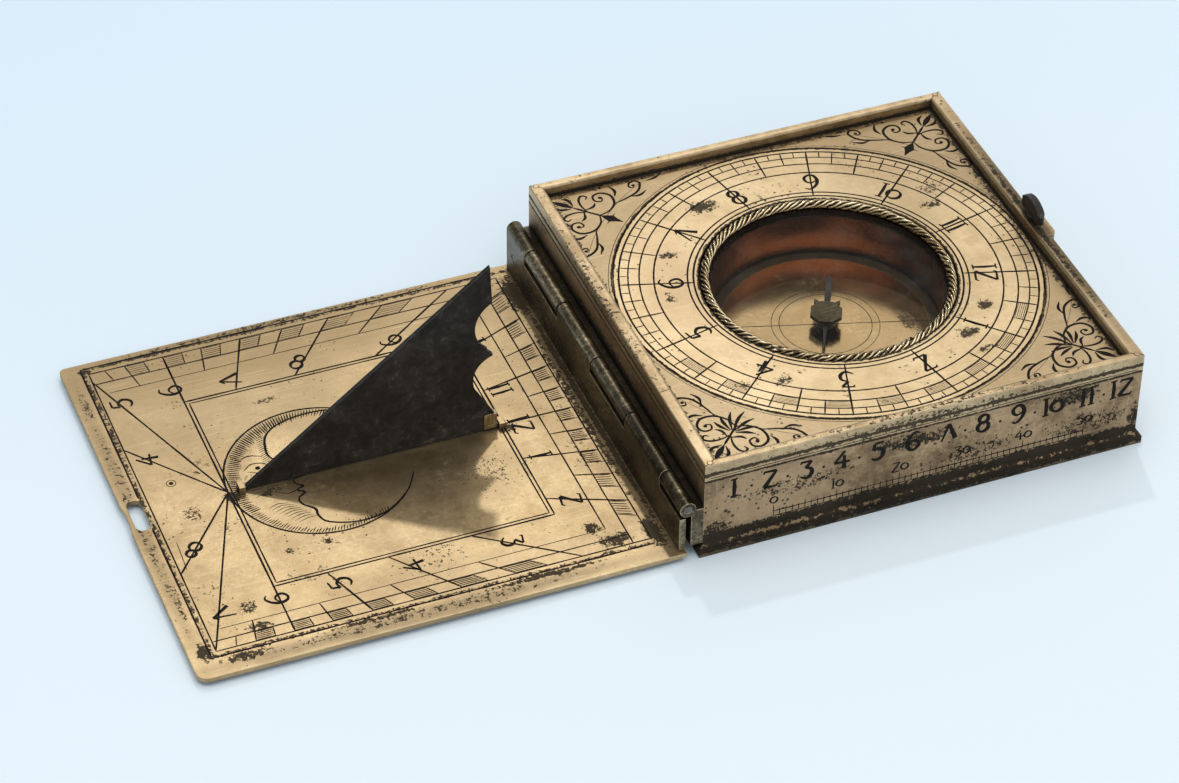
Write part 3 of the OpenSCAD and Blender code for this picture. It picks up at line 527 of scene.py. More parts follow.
# strokes in a box one high round the middle, rows of x, y, weight: one row is a ring with its radius,
# and more than three make a smooth stroke
glyphs = {
    "0": [[(0.0, -0.08, 0.30)]],
    "1": [[(0, .5, .8), (.02, 0, 1.2), (0, -.5, .9)], [(-.16, .48, .5), (.16, .5, .6)],
          [(-.16, -.5, .6), (.16, -.48, .5)]],
    "2": [[(-.32, .34, .4), (-.26, .46, .8), (.3, .44, .9)], [(.3, .44, .9), (-.3, -.44, 1.4)],
          [(-.3, -.44, .9), (.26, -.46, .8), (.34, -.34, .4)]],
    "3": [[(-.28, .34, .4), (-.24, .46, .8), (.24, .44, .8)], [(.24, .44, .9), (-.04, .1, 1.1)],
          [(-.04, .1, .6), (.22, .0, 1.0), (.26, -.28, 1.3), (.04, -.5, 1.0), (-.28, -.36, .5)]],
    "4": [[(.12, .5, .8), (-.36, -.1, .9)], [(-.38, -.1, .8), (.38, -.14, .8)],
          [(.1, .26, .8), (.1, -.5, 1.3)]],
    "5": [[(.3, .47, .6), (-.14, .43, .9)], [(-.14, .43, .9), (-.2, .06, 1.1)],
          [(-.2, .06, .7), (.06, .13, .9), (.28, -.1, 1.3), (.16, -.42, 1.1), (-.1, -.5, .9),
           (-.3, -.38, .4)]],
    "6": [[(.3, .42, .4), (.06, .49, .8), (-.2, .22, 1.1), (-.28, -.12, 1.3), (-.16, -.43, 1.1),
           (.06, -.5, .9), (.27, -.3, 1.1), (.2, -.04, .9), (0, .05, .7), (-.24, -.1, .5)]],
    "7": [[(-.32, -.46, .6), (.02, .5, .9)], [(.02, .5, .9), (.36, -.42, 1.4)],
          [(-.2, .3, .4), (.02, .5, .8)]],
    "8": [[(0.0, 0.25, 0.22)], [(0.0, -0.22, 0.27)]],
    "9": [[(-.3, -.42, .4), (-.06, -.49, .8), (.2, -.22, 1.1), (.28, .12, 1.3), (.16, .43, 1.1),
           (-.06, .5, .9), (-.27, .3, 1.1), (-.2, .04, .9), (0, -.05, .7), (.24, .1, .5)]],
}
advance = {"1": 0.42, "0": 0.68}  # how much of the line a figure takes; the others take 0.8


cutting = {"step": 2.4, "lineScale": 1.0, "lift": 0.004, "rise": 0.0004, "rises": 11}


class Burin:  # gathers cuts on one flat face as rows of x, y, width in mm
    def __init__(self, seed):
        self.cuts = []
        self.chance = random.Random(seed)

    def rows(self, rows):
        self.cuts.append(np.array(rows, float))

    def straight(self, start, end, width, ends=0.5):
        a, b = np.array(start, float), np.array(end, float)
        length = float(np.linalg.norm(b - a))
        if length < 0.05:
            return
        lead = min(0.7, length / 3) / length
        inside = [k * cutting["step"] / length for k in range(1, int(length / cutting["step"]) + 1)]
        stops = [0.0, lead] + [t for t in inside if lead < t < 1 - lead] + [1 - lead, 1.0]
        self.rows([[*(a + (b - a) * t), width * (ends if t in (0.0, 1.0) else self.chance.uniform(0.8, 1.15))]
                   for t in stops])

    def arc(self, centre, radius, start, end, width, ends=1.0, step=0.5):
        count = max(10, int(abs(math.radians(end - start)) * radius / step))
        rows = []
        for k in range(count + 1):
            a = math.radians(start + (end - start) * k / count)
            tip = min(1.0, ends + (1 - ends) * 6 * min(k, count - k) / count)
            rows.append([centre[0] + radius * math.cos(a), centre[1] + radius * math.sin(a),
                         width * tip * self.chance.uniform(0.88, 1.1)])
        self.rows(rows)

    def smooth(self, points, width, steps=7):
        p = np.array(points, float)
        p = np.vstack([2 * p[0] - p[1], p, 2 * p[-1] - p[-2]])
        rows = []
        for i in range(1, len(p) - 2):
            for t in np.linspace(0, 1, steps, endpoint=False):
                rows.append(0.5 * (2 * p[i] + (p[i + 1] - p[i - 1]) * t
                                   + (2 * p[i - 1] - 5 * p[i] + 4 * p[i + 1] - p[i + 2]) * t * t
                                   + (3 * p[i] - p[i - 1] - 3 * p[i + 1] + p[i + 2]) * t ** 3))
        rows.append(p[-2])
        rows = np.array(rows)
        rows[:, 2] = np.maximum(rows[:, 2], 0.15) * width
        self.rows(rows)

    def dot(self, centre, radius):
        self.arc(centre, radius / 2, 0, 360, radius, step=0.2)

    def curls(self, rows, width, place):  # a curl of one row is a dot with its radius
        for curl in rows:
            if len(curl) == 1:
                self.dot(place(*curl[0][:2]), curl[0][2])
            else:
                self.smooth([(*place(x, y), weight) for x, y, weight in curl], width)

    def hatch(self, a0, a1, b0, b1, count, width):  # lines from edge a0-a1 to edge b0-b1
        a0, a1, b0, b1 = (np.array(p, float) for p in (a0, a1, b0, b1))
        for k in range(count):
            t = (k + 0.5) / count
            self.straight(a0 + (a1 - a0) * t, b0 + (b1 - b0) * t, width, 0.6)

    def numeral(self, text, centre, upAngle, size, width):
        up = np.array([math.cos(math.radians(upAngle)), math.sin(math.radians(upAngle))])
        right = np.array([up[1], -up[0]])
        across = -sum(advance.get(c, 0.8) for c in text) / 2
        for letter in text:
            across += advance.get(letter, 0.8) / 2
            lean = self.chance.uniform(-0.05, 0.05)

            def put(x, y):
                return np.array(centre) + size * (right * (x + across + lean * y) + up * y)

            for stroke in glyphs[letter]:
                if len(stroke) == 1:
                    x, y, radius = stroke[0]
                    self.rows([[*put(x + radius * math.cos(a), y + radius * math.sin(a)),
                                width * (0.65 + 0.65 * abs(math.cos(a + 0.5)))]
                               for a in np.linspace(0, 2 * math.pi, 22)])
                elif len(stroke) > 3:
                    self.smooth([[*put(x, y), w] for x, y, w in stroke], width)
                else:
                    self.rows([[*put(x, y), w * width] for x, y, w in stroke])
            across += advance.get(letter, 0.8) / 2

    def mapped(self, other, transform):  # takes over another burin's cuts, moved by a function
        for cut in other.cuts:
            self.rows([[*transform(x, y), w] for x, y, w in cut])


def startTree(name, sizes):  # a tree with named inputs
    tree = bpy.data.node_groups.new(name, "GeometryNodeTree")
    inputs = {}
    for title, kind in sizes.items():
        socket = tree.interface.new_socket(title, in_out="INPUT", socket_type="NodeSocket" + kind)
        inputs[title] = socket.identifier
    tree.interface.new_socket("Geometry", in_out="OUTPUT", socket_type="NodeSocketGeometry")
    source = tree.nodes.new("NodeGroupInput")
    given = {socket.name: Wire(tree, socket) for socket in source.outputs if socket.name}
    return Bench(tree), given, inputs


def closeTree(bench, geometry, finish):
    geometry = bench.put("GeometryNodeRealizeInstances", {}, {"Geometry": geometry})
    geometry = bench.put("GeometryNodeSetMaterial", {}, {"Geometry": geometry, "Material": finish})
    bench.put("NodeGroupOutput", {}, {0: geometry})


def engravedTree():
    bench, given, inputs = startTree("engravedLines", {
        "Geometry": "Geometry", "Line width": "Float", "Lift": "Float", "Finish": "Material"})
    line = bench.put("GeometryNodeMeshToCurve", {}, {"Mesh": given["Geometry"]})
    line = bench.put("GeometryNodeSetCurveNormal", {"mode": "Z_UP"}, {"Curve": line})
    width = bench.put("GeometryNodeInputNamedAttribute", {"data_type": "FLOAT"}, {"Name": "cutWidth"})
    blade = bench.put("GeometryNodeCurvePrimitiveLine", {}, {"Start": (-0.5, 0, 0), "End": (0.5, 0, 0)})
    cut = bench.put("GeometryNodeCurveToMesh", {}, {
        "Curve": line, "Profile Curve": blade, "Scale": width * given["Line width"]})
    up = bench.put("ShaderNodeCombineXYZ", {}, {"Z": given["Lift"]})
    cut = bench.put("GeometryNodeSetPosition", {}, {"Geometry": cut, "Offset": up})
    closeTree(bench, cut, given["Finish"])
    return bench.tree, inputs


def runTree(thing, built, values):  # keeps the result as a plain mesh
    tree, inputs = built
    modifier = thing.modifiers.new("build", "NODES")
    modifier.node_group = tree
    for title, value in values.items():
        modifier[inputs[title]] = value
    bpy.context.view_layer.update()
    seen = thing.evaluated_get(bpy.context.evaluated_depsgraph_get())
    mesh = bpy.data.meshes.new_from_object(seen)
    thing.modifiers.clear()
    thing.data = mesh
    return mesh


lineTree = engravedTree()


def engrave(name, burin, body, level, finish=groove, place=None, lift=cutting["lift"]):
    points, edges, widths = [], [], []
    for number, cut in enumerate(burin.cuts):
        rise = (number * 7 % cutting["rises"]) * cutting["rise"]  # crossing lines don't share a plane
        start = len(points)
        points += [(x * mm, y * mm, (level + rise) * mm) for x, y, w in cut]
        widths += [w * mm for x, y, w in cut]
        edges += [(start + k, start + k + 1) for k in range(len(cut) - 1)]
    mesh = bpy.data.meshes.new(name)
    mesh.from_pydata(points, edges, [])
    widthValues = mesh.attributes.new("cutWidth", "FLOAT", "POINT").data
    widthValues.foreach_set("value", np.array(widths, np.float32))
    thing = newThing(name, mesh)
    mesh = runTree(thing, lineTree, {"Line width": cutting["lineScale"], "Lift": lift * mm, "Finish": finish})
    upward = np.zeros(len(mesh.polygons) * 3, np.float32)
    mesh.polygons.foreach_get("normal", upward)
    if upward.reshape(-1, 3)[:, 2].sum() < 0:
        mesh.flip_normals()
    if place is not None:
        mesh.transform(place)
    mesh.update()
    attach(thing, body)
    print("engraved", name, len(mesh.polygons), "faces")


# the dial on the lid: hour lines spread from the gnomon's foot
lid = {
    "level": 1.5, "centre": (-95.4, 0.2), "latitude": 46.0, "slotEnd": 3.5,
    "borderLeft": (-108.0, -107.0), "borderFar": (34.7, 33.3), "borderNear": (-32.2, -31.1),
    "borderHinge": -41.3, "innerBox": ((-95.4, -21.3), (-52.5, 22.0)), "innerBoxInset": 0.6,
    "farBand": (28.0, 30.6, 33.3), "nearBand": (-26.9, -29.1, -31.1), "hingeBand": (-46.8, -44.1, -41.3),
    "heavy": 0.31, "middle": 0.25, "fine": 0.20, "hatchLines": 6, "hatchWidths": (0.12, 0.19),
    "numeralSize": 3.3, "numeralWidth": 0.44, "drilled": (-102.6, 5.06),
    "numerals": (  # figure, x, y, which way is up
        ("5", -104.4, 24.9, 176), ("6", -96.6, 25.2, 184), ("7", -87.4, 24.5, 180), ("8", -76.5, 24.9, 54),
        ("9", -61.6, 24.6, 20), ("10", -49.6, 18.6, 8), ("4", -104.3, 11.3, 176), ("8", -103.8, -9.9, 232),
        ("7", -103.8, -24.2, 196), ("6", -95.8, -23.9, 176), ("5", -86.4, -24.1, 186),
        ("4", -75.2, -24.3, 190), ("3", -60.2, -24.4, -10), ("11", -50.0, 7.9, 4), ("12", -49.9, -0.8, 0),
        ("1", -49.7, -8.3, 0), ("2", -49.1, -19.1, -6)),
}


def hourAngle(hours):  # direction of an hour line, hours counted from noon, morning positive
    turn = math.radians(15 * hours)
    return math.atan2(math.sin(math.radians(lid["latitude"])) * math.sin(turn), math.cos(turn))


def lidLines():
    cut, fine = Burin(11), Burin(12)
    cx, cy = lid["centre"]
    left, far, near, hinge = lid["borderLeft"], lid["borderFar"], lid["borderNear"], lid["borderHinge"]
    slot = lid["slotEnd"]
    for k, width in ((0, lid["heavy"]), (1, lid["middle"])):
        # the outer line stops at the slot
        for start, end in (((far[k], slot), (-slot, near[k])) if k == 0 else ((far[k], near[k]),)):
            cut.straight((left[k], start), (left[k], end), width)
        cut.straight((left[k], far[k]), (hinge + 0.2, far[k]), width)
        cut.straight((left[k], near[k]), (hinge + 0.2, near[k]), width)
    cut.straight((hinge, far[1]), (hinge, near[1]), lid["middle"])
    (x0, y0), (x1, y1) = lid["innerBox"]
    inset = lid["innerBoxInset"]
    cut.straight((cx, far[1]), (cx, near[1]), lid["heavy"])
    for d, width in ((0.0, lid["heavy"]), (inset, lid["middle"])):
        cut.straight((x0 + d, y1 - d), (x1 - d, y1 - d), width)
        cut.straight((x0 + d, y0 + d), (x1 - d, y0 + d), width)
        cut.straight((x1 - d, y0 + d), (x1 - d, y1 - d), width)
    cut.straight((x0 + inset, y0 + inset), (x0 + inset, y1 - inset), lid["middle"])

    def onY(angle, y):
        return (cx + (y - cy) / math.tan(angle), y)

    def onX(angle, x):
        return (x, cy + (x - cx) * math.tan(angle))

    for hours in (7, 8, -7, -8):  # early and late hours run to the left border
        cut.straight((cx, cy), onX(hourAngle(hours), left[1]), lid["heavy"])

    def quarters(span, meet, band, inside, edge, hatched):  # one band of hour, half and quarter lines
        last, shaded = None, False
        for quarter in span:
            angle = hourAngle(quarter / 4)
            tip = meet(angle, band[2])
            shaded = not shaded
            if not inside(tip):
                last = None
                continue
            if quarter % 4 == 0 and abs(quarter) < 24:
                cut.straight(edge(angle), tip, lid["heavy"])
            elif quarter % 2 == 0:
                fine.straight(meet(angle, band[0]), tip, lid["middle"])
            else:
                fine.straight(meet(angle, band[1]), tip, lid["fine"])
            if last is not None and shaded:
                fine.hatch(*hatched(last, angle))
            last = angle

    def atHinge(angle):
        return onX(angle, x1)

    b0, b1, b2 = lid["hingeBand"]
    lines, (thin, thick) = lid["hatchLines"], lid["hatchWidths"]
    for side, band, y, width in ((1, lid["farBand"], y1, thin), (-1, lid["nearBand"], y0, thick)):
        fine.straight((left[1], band[1]), (b1, band[1]), lid["middle"])
        fine.straight((cx - 10, band[0]), (b0, band[0]), lid["fine"] * 0.7)
        quarters(range(side * 12, side * 29, side), onY, band, lambda tip: left[1] < tip[0] < b1,
                 lambda angle: onY(angle, y) if onY(angle, y)[0] < x1 else atHinge(angle),
                 lambda *two: (*(onY(angle, band[k]) for angle in two for k in (1, 2)), lines, width))
    fine.straight((b1, near[1]), (b1, far[1]), lid["middle"])
    fine.straight((b0, lid["nearBand"][0]), (b0, lid["farBand"][0]), lid["middle"])
    short = b1 + (b2 - b1) * 0.8
    quarters(range(-12, 13), onX, (b0, b1, b2),
             lambda tip: lid["nearBand"][1] < tip[1] < lid["farBand"][1], atHinge,
             lambda *two: (*(onX(angle, x) for x in (b1, short) for angle in two), lines, thick))
    for text, x, y, up in lid["numerals"]:
        cut.numeral(text, (x, y), up, lid["numeralSize"], lid["numeralWidth"])
    cut.dot(lid["drilled"], 0.35)
    fine.arc(lid["drilled"], 0.7, 0, 360, 0.12, step=0.2)
    fine.straight((-105.6, -7.5), (-105.9, -13.6), 0.14)
    return cut, fine


moon = {
    "centre": (-81.4, 0.3), "radius": 14.0, "outline": 0.33,
    "face": (  # curls with their widths: profile, eye, brow, nose
        (((12.9, 5.4, .4), (10.6, 9.2, .8), (6.2, 12.1, 1), (1.6, 12.7, 1), (-2.6, 11.8, 1),
          (-4.9, 10.1, 1.1), (-5.8, 7.8, 1.2), (-6.0, 5.6, 1), (-5.1, 4.0, .9), (-3.7, 2.2, 1.1),
          (-2.3, .5, 1.3), (-2.5, -.3, 1.1), (-4.2, -.8, .8), (-4.0, -1.9, .9), (-3.3, -2.6, 1.3),
          (-4.4, -3.2, .8), (-3.5, -4.0, 1.3), (-4.7, -5.0, .9), (-4.6, -6.4, 1), (-3.2, -8.0, 1.3),
          (-3.2, -9.6, 1.1), (-2.2, -11.4, 1), (1.8, -12.8, 1), (6.4, -12.2, 1), (10.6, -9.1, .8),
          (12.9, -5.4, .4)), 0.33),
        (((-10.4, 3.6, .5), (-9.0, 4.6, 1), (-7.4, 4.3, .8), (-6.6, 3.4, .4)), 0.22),
        (((-10.0, 3.2, .4), (-8.6, 2.5, .9), (-6.9, 3.1, .5)), 0.2),
        (((-8.3, 3.5, .42),), 0),
        (((-10.9, 5.6, .4), (-9.0, 6.5, 1), (-6.9, 5.8, .5)), 0.24),
        (((-4.4, -3.2, .9), (-5.9, -3.4, .8), (-7.2, -2.7, .4)), 0.22),
        (((-4.4, -.8, .8), (-5.6, -.3, .8), (-5.7, .6, .4)), 0.2)),
    "cheek": (  # how many, the first one, how far each next one moves
        (9, ((-9.6, -5.6, .3), (-8.0, -5.1, 1), (-6.2, -5.5, .3)), ((.4, -.55), (.4, -.55), (.35, -.5))),
        (6, ((-11.6, .8, .3), (-10.4, 1.1, 1), (-9.2, .7, .3)), ((.2, -.7), (.2, -.7), (.2, -.7)))),
}


def moonLines():
    cut, fine = Burin(21), Burin(22)
    mx, my = moon["centre"]
    r = moon["radius"]

    def at(x, y):
        return (mx + x, my + y)

    cut.arc(moon["centre"], r, 24, 336, moon["outline"], 0.3)
    for curl, width in moon["face"]:
        cut.curls((curl,), width, at)
    for turn in np.arange(56, 300, 1.9):  # short rays of shading along the outer edge
        a = math.radians(turn)
        depth = 0.9 + 1.3 * max(0.0, math.sin(math.radians(turn - 40) * 0.9))
        depth += cut.chance.uniform(0, 0.6)
        fine.straight((mx + (r - 0.2) * math.cos(a), my + (r - 0.2) * math.sin(a)),
                      (mx + (r - depth) * math.cos(a + 0.03), my + (r - depth) * math.sin(a + 0.03)),
                      0.26 if 90 < turn < 205 else 0.18, 0.3)
    for k in range(14):  # and along the forehead
        fine.straight((mx - 5.2 - k * 0.04, my + 10.2 - k * 0.42),
                      (mx - 6.7 - k * 0.05, my + 9.8 - k * 0.45), 0.14, 0.3)
    for count, curl, steps in moon["cheek"]:
        for k in range(count):
            moved = [(x + k * dx, y + k * dy, weight) for (x, y, weight), (dx, dy) in zip(curl, steps)]
            fine.curls((moved,), 0.15, at)
    return cut, fine


lidCut, lidFine = lidLines()
moonCut, moonFine = moonLines()
engrave("lidHourLines", lidCut, "lid", lid["level"])
engrave("lidScaleLines", lidFine, "lid", lid["level"], fineGroove)
engrave("moonOutline", moonCut, "lid", lid["level"])
engrave("moonShading", moonFine, "lid", lid["level"], fineGroove)


# the round dial in the box: equal hours
dial = {
    "level": 14.7, "noon": -17.6,
    "circles": ((31.7, .32), (30.3, .22), (28.6, .25), (26.4, .27), (21.3, .27), (20.4, .32)),
    "hours": (20.4, 31.7, .31), "halves": (26.4, 31.7, .27), "quarters": (28.6, 31.7, .23),
    "eighths": (30.3, 31.7, .19), "hatch": (28.7, 30.2, 7.5, 5, .10),
    "numeralRadius": 23.9, "numeralSize": 3.6, "numeralWidth": 0.46,
}


def dialLines():
    cut, fine = Burin(31), Burin(32)

    def at(radius, turn):
        return (radius * math.cos(math.radians(turn)), radius * math.sin(math.radians(turn)))

    for radius, width in dial["circles"]:
        cut.arc((0, 0), radius, 0, 360, width)
    low, high, wide, count, thin = dial["hatch"]
    for eighth in range(96):
        turn = dial["noon"] - eighth * 3.75
        if eighth % 8 == 0:
            burin, (start, end, width) = cut, dial["hours"]
        elif eighth % 4 == 0:
            burin, (start, end, width) = cut, dial["halves"]
        else:
            burin, (start, end, width) = fine, dial["quarters" if eighth % 2 == 0 else "eighths"]
        burin.straight(at(start, turn), at(end, turn), width)
        if eighth % 4 == 0 and -160 < (turn + 180) % 360 - 180 < -20:
            fine.hatch(*(at(radius, t) for t in (turn, turn - wide) for radius in (low, high)), count, thin)
    for hour in range(1, 13):
        turn = dial["noon"] - hour * 30
        spot = at(dial["numeralRadius"], turn)
        cut.numeral(str(hour), spot, turn, dial["numeralSize"], dial["numeralWidth"])
    return cut, fine


dialCut, dialFine = dialLines()
engrave("dialHourLines", dialCut, "dial", dial["level"])
engrave("dialScaleLines", dialFine, "dial", dial["level"], fineGroove)

# rings and the north line on the floor under the needle
compassFloor = {
    "level": 5.7, "circles": ((7.1, 0.12), (8.3, 0.10)), "reach": 17.0, "ends": (162.4, -17.6), "width": 0.16,
}
floorLines = Burin(41)
for radius, width in compassFloor["circles"]:
    floorLines.arc((0, 0), radius, 0, 360, width)
reach = compassFloor["reach"]
ends = [(reach * math.cos(math.radians(turn)), reach * math.sin(math.radians(turn)))
        for turn in compassFloor["ends"]]
floorLines.straight(*ends, compassFloor["width"])
engrave("compassFloorLines", floorLines, "dial", compassFloor["level"], fineGroove)

# scrolls and leaves in the four corners
corner = {
    "middle": 40.6, "level": 14.7, "width": 0.37,
    "arcs": ((33.25, 40, 0.10, 0.3), (36.6, 22, 0.07, 0.2)), "edgeWidth": 0.30,
    "edges": ((-32.85, -33.8, -32.85, 33.8), (32.85, -33.8, 32.85, 33.8),
              (-32.9, -33.75, 32.9, -33.75), (-32.9, 33.75, 32.9, 33.75)),
    "half": (
        ((0, -3, .6), (1.7, -3.9, .9), (3.8, -3.8, 1.1), (5.3, -2.4, 1.2), (5.1, -.7, 1.1), (3.9, -.1, 1),
         (3, -.9, .9), (3.4, -1.8, .8), (4.2, -1.6, .5)),
        ((4.05, -1.25, .34),),
        ((3.6, -3.9, .5), (5.6, -5, .9), (8, -5.9, 1.1), (10, -5.4, 1.1), (10.2, -4.4, 1), (9.2, -3.9, .9),
         (8.4, -4.4, .8), (8.8, -5, .5)),
        ((9.1, -4.7, .3),),
        ((0, -1, .5), (.9, .5, .9), (2.1, 1.5, 1.1), (3.2, 1.6, 1), (3.4, .8, .8), (2.7, .6, .5)),
        ((5.3, -3.2, .4), (6.6, -2.6, 1.4), (7.3, -1.2, .4)),
        ((6.4, -5.5, .4), (7.3, -6.6, 1.3), (8.8, -7, .4)),
        ((11, -6, .4), (12.2, -6.9, 1.2), (13.6, -7.4, .4)),
        ((.3, 1.6, .4), (1.3, 2.9, 1.5), (1.2, 4.1, .4)),
        ((.2, -.4, .4), (1.5, -1.2, 1.3), (2.5, -1.1, .4)),
        ((6.3, -.2, .26),), ((11.4, -5.2, .24),)),
}


def scrollWork(fan):
    leaf = Burin(51)
    w = corner["width"]
    for s in (-1, 1):
        leaf.curls(corner["half"], w, lambda x, y: (s * x, y))
    leaf.straight((0, -3.4), (0, 1.4), w * 1.1)
    leaf.smooth([(0, 1.4, .4), (0, 3.2, 2.6), (0, 5.2, .3)], w)
    if fan:
        for turn in (-72, -48, -24, 0, 24, 48, 72):
            a = math.radians(turn - 90)
            long = 5.0 - abs(turn) * 0.022
            leaf.smooth([(0.5 * math.cos(a), -1.6 + 0.5 * math.sin(a), .4),
                         (0.62 * long * math.cos(a + 0.10), -1.6 + 0.62 * long * math.sin(a + 0.10), 1.5),
                         (long * math.cos(a + 0.02), -1.6 + long * math.sin(a + 0.02), .4)], w)
    else:
        leaf.rows([(0, -3.2, 0.15), (0, -4.0, 0.9), (0, -4.9, 1.7), (0, -5.8, 0.8), (0, -6.9, 0.1)])
        leaf.straight((-1.4, -4.9), (1.4, -4.9), 0.22)
    return leaf


cornerLines = Burin(61)
for signX, signY, fan in ((-1, 1, False), (1, 1, False), (-1, -1, True), (1, -1, True)):
    def toCorner(u, v, sx=signX, sy=signY):
        reach = (corner["middle"] + v) * math.sqrt(0.5)
        return (sx * (reach + u * math.sqrt(0.5)), sy * (reach - u * math.sqrt(0.5)))
    cornerLines.mapped(scrollWork(fan), toCorner)
engrave("cornerScrolls", cornerLines, "case", corner["level"])
cornerFine = Burin(62)
for turn in (45, 135, 225, 315):
    for radius, half, width, ends in corner["arcs"]:
        cornerFine.arc((0, 0), radius, turn - half, turn + half, width, ends)
for x0, y0, x1, y1 in corner["edges"]:
    cornerFine.straight((x0, y0), (x1, y1), corner["edgeWidth"], 0.9)
engrave("cornerArcs", cornerFine, "case", corner["level"])

# seams of the rim, seen from above
rim = {
    "level": 16.6, "lift": 0.006, "width": 0.14, "mitre": ((34.9, 35.1), (33.3, 34.1)),
    "pin": (34.05, 34.6), "pinRadius": 0.43, "pinWidth": 0.10,
    "seams": ((-34.8, 1.5, -33.4, 1.6), (-34.8, -17.7, -33.4, -17.6), (33.3, 4.7, 34.9, 4.7),
              (33.3, -4.7, 34.9, -4.7)),
}
seams = Burin(71)
for sx in (-1, 1):
    for sy in (-1, 1):
        seams.straight(*((sx * x, sy * y) for x, y in rim["mitre"]), rim["width"], 0.8)
        pin = (sx * rim["pin"][0], sy * rim["pin"][1])
        seams.arc(pin, rim["pinRadius"], 0, 360, rim["pinWidth"], step=0.15)
for x0, y0, x1, y1 in rim["seams"]:
    seams.straight((x0, y0), (x1, y1), rim["width"], 0.8)
engrave("rimSeams", seams, "case", rim["level"], lift=rim["lift"])

# the front wall: a plain row of numbers over a divided scale
front = {
    "level": 35.2, "rowHeight": 11.2, "rowStart": -30.4, "rowStep": 5.65, "rowSize": 3.3, "rowWidth": 0.58,
    "dotRadius": 0.24, "seam": ((-34.4, 14.1), (34.2, 14.0), 0.14),
    "scaleHeight": 4.7, "scaleDepth": 0.9, "scaleStart": -24.0, "scaleSteps": 50, "scaleSize": 1.9,
    "scaleWidth": 0.28, "tick": 0.16,
}
frontCut, frontFine = Burin(81), Burin(82)
for hour in range(1, 13):
    x = front["rowStart"] + (hour - 1) * front["rowStep"]
    y = front["rowHeight"] + frontCut.chance.uniform(-0.12, 0.12)
    frontCut.numeral(str(hour), (x, y), 90, front["rowSize"], front["rowWidth"])
    if hour < 12:
        frontCut.dot((x + 2.75, front["rowHeight"] - 0.4), front["dotRadius"])
frontFine.straight(*front["seam"])
top, foot = front["scaleHeight"], front["scaleHeight"] - front["scaleDepth"]
start, end = front["scaleStart"], front["scaleStart"] + front["scaleSteps"]
frontFine.straight((start, top), (end, top), 0.2)
frontFine.straight((start, foot), (end, foot), 0.14)
for step in range(front["scaleSteps"] + 1):
    long = 1.5 if step % 10 == 0 else (1.1 if step % 5 == 0 else 0.7)
    frontFine.straight((start + step, foot), (start + step, top + long - 0.3), front["tick"])
for number in range(0, front["scaleSteps"] + 1, 10):
    frontCut.numeral(str(number), (start + number, top + 2.3), 90, front["scaleSize"], front["scaleWidth"])

knuckles = {
    "axis": (-37.45, 9.075), "reach": 1.27, "width": 0.34, "turn": -30, "step": 9.6, "steps": 24,
    "seams": ((27.4, -1), (13.7, 1), (0.0, -1), (-13.7, 1), (-27.4, -1)),
}


def knuckleSeams(look):  # dark bands round the ends of the box's own knuckles
    points, faces = [], []
    (axisX, axisZ), reach = look["axis"], look["reach"]
    for number, (y, way) in enumerate(look["seams"]):
        for k in range(look["steps"] + 1):
            a = math.radians(look["turn"] + k * look["step"])
            far = way * look["width"] * (0.75 + 0.35 * math.sin(k * 1.7 + number))
            for side in (0.0, far) if way > 0 else (far, 0.0):
                points.append(((axisX + reach * math.cos(a)) * mm, (y + side) * mm,
                               (axisZ + reach * math.sin(a)) * mm))
            if k:
                last = len(points) - 4
                faces.append((last, last + 2, last + 3, last + 1))
    mesh = bpy.data.meshes.new("knuckleSeams")
    mesh.from_pydata(points, [], faces)
    mesh.materials.append(groove)
    thing = newThing("knuckleSeams", mesh)
    if sum(face.normal[0] * (face.center[0] - axisX * mm) for face in mesh.polygons) < 0:
        mesh.flip_normals()
    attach(thing, "case")


knuckleSeams(knuckles)
upright = Matrix(((1, 0, 0, 0), (0, 0, -1, 0), (0, 1, 0, 0), (0, 0, 0, 1)))
engrave("frontNumbers", frontCut, "case", front["level"], place=upright)
engrave("frontScale", frontFine, "case", front["level"], place=upright)
print("engraving done")


# twisted wire ring over the glass

wireRing = {
    "ringRadius": 18.75, "wireRadius": 0.205, "spread": 0.53, "height": 14.42, "turns": 20, "perTurn": 28,
    "unevenness": 1.6, "wires": 5, "corners": 8, "swayScale": 330.0, "looseScale": 420.0,
    "looseEnd": ((-14.2, -12.3, 14.7), (-13.6, -14.4, 15.5), (-12.4, -13.7, 15.1), (-10.9, -14.5, 14.9)),
}


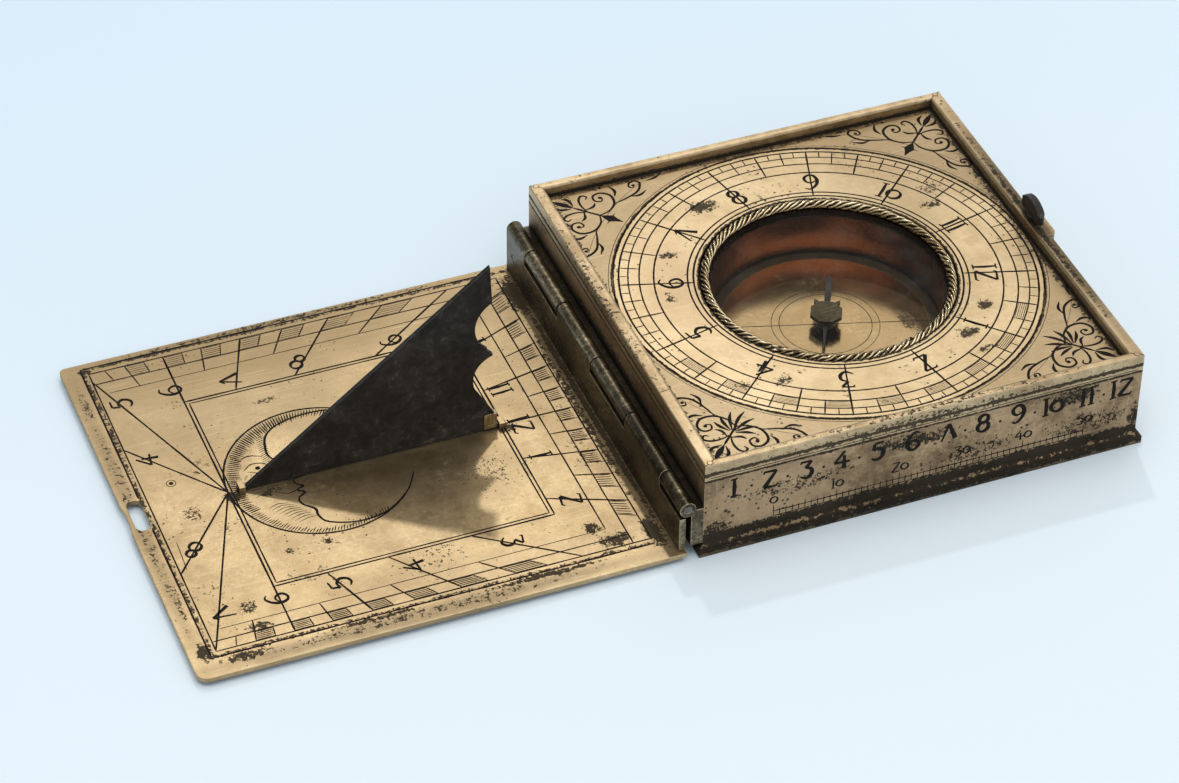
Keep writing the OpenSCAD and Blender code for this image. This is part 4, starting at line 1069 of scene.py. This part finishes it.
def wireTree():
    bench, given, inputs = startTree("twistedWires", {
        "Ring radius": "Float", "Wire radius": "Float", "Spread": "Float", "Height": "Float",
        "Unevenness": "Float", "Turns": "Int", "Points": "Int", "Finish": "Material"})
    circle, toMesh = "GeometryNodeCurvePrimitiveCircle", "GeometryNodeCurveToMesh"
    both = bench.tree.nodes.new("GeometryNodeJoinGeometry")
    profile = bench.put(circle, {}, {"Resolution": wireRing["corners"], "Radius": given["Wire radius"]})
    for number in range(wireRing["wires"] + 1):  # the last one is the core, which the rendered shade and the finish's painted shade darken
        start = 2 * math.pi * number / wireRing["wires"]
        share = 1.0 if number < wireRing["wires"] else 0.0
        path = bench.put(circle, {}, {"Resolution": given["Points"], "Radius": given["Ring radius"]})
        along = bench.put("GeometryNodeSplineParameter") * (2 * math.pi)
        spotNow = bench.put("GeometryNodeInputPosition")
        sway = bench.noise(spotNow, wireRing["swayScale"], 2.0) - 0.5
        aside = bench.vector("ADD", spotNow, (0.0, 0.0, 0.1 * number + 0.05))
        loose = bench.noise(aside, wireRing["looseScale"], 2.0) - 0.5
        twist = along * given["Turns"] + start + sway * given["Unevenness"] + loose * 2.2
        spread = given["Spread"] * share * (sway * 0.3 + loose * 0.6 + 1.0)
        reach = given["Ring radius"] + spread * bench.math("COSINE", twist)
        spot = bench.put("ShaderNodeCombineXYZ", {}, {
            "X": reach * bench.math("COSINE", along), "Y": reach * bench.math("SINE", along),
            "Z": given["Height"] + spread * bench.math("SINE", twist)})
        path = bench.put("GeometryNodeSetPosition", {}, {"Geometry": path, "Position": spot})
        wire = bench.put(toMesh, {}, {"Curve": path, "Profile Curve": profile})
        bench.tree.links.new(wire.socket, both.inputs[0])
    a, b, c, d = (Vector(point) * mm for point in wireRing["looseEnd"])
    path = bench.put("GeometryNodeCurvePrimitiveBezierSegment", {}, {
        "Resolution": 14, "Start": a, "Start Handle": b, "End Handle": c, "End": d})
    wire = bench.put(toMesh, {}, {"Curve": path, "Profile Curve": profile, "Fill Caps": True})
    bench.tree.links.new(wire.socket, both.inputs[0])
    ring = bench.put("GeometryNodeSetShadeSmooth", {}, {"Geometry": Wire(bench.tree, both.outputs[0])})
    closeTree(bench, ring, given["Finish"])
    return bench.tree, inputs


ring = newThing("wireRing", bpy.data.meshes.new("wireRing"))
runTree(ring, wireTree(), {
    "Ring radius": wireRing["ringRadius"] * mm, "Wire radius": wireRing["wireRadius"] * mm,
    "Spread": wireRing["spread"] * mm, "Height": wireRing["height"] * mm, "Turns": wireRing["turns"],
    "Points": wireRing["turns"] * wireRing["perTurn"], "Unevenness": wireRing["unevenness"],
    "Finish": finishes["ring_brass"]})
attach(ring, "dial")
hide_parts("twisted_ring")
print("wire ring made:", len(ring.data.polygons), "faces")

print("scene finished")
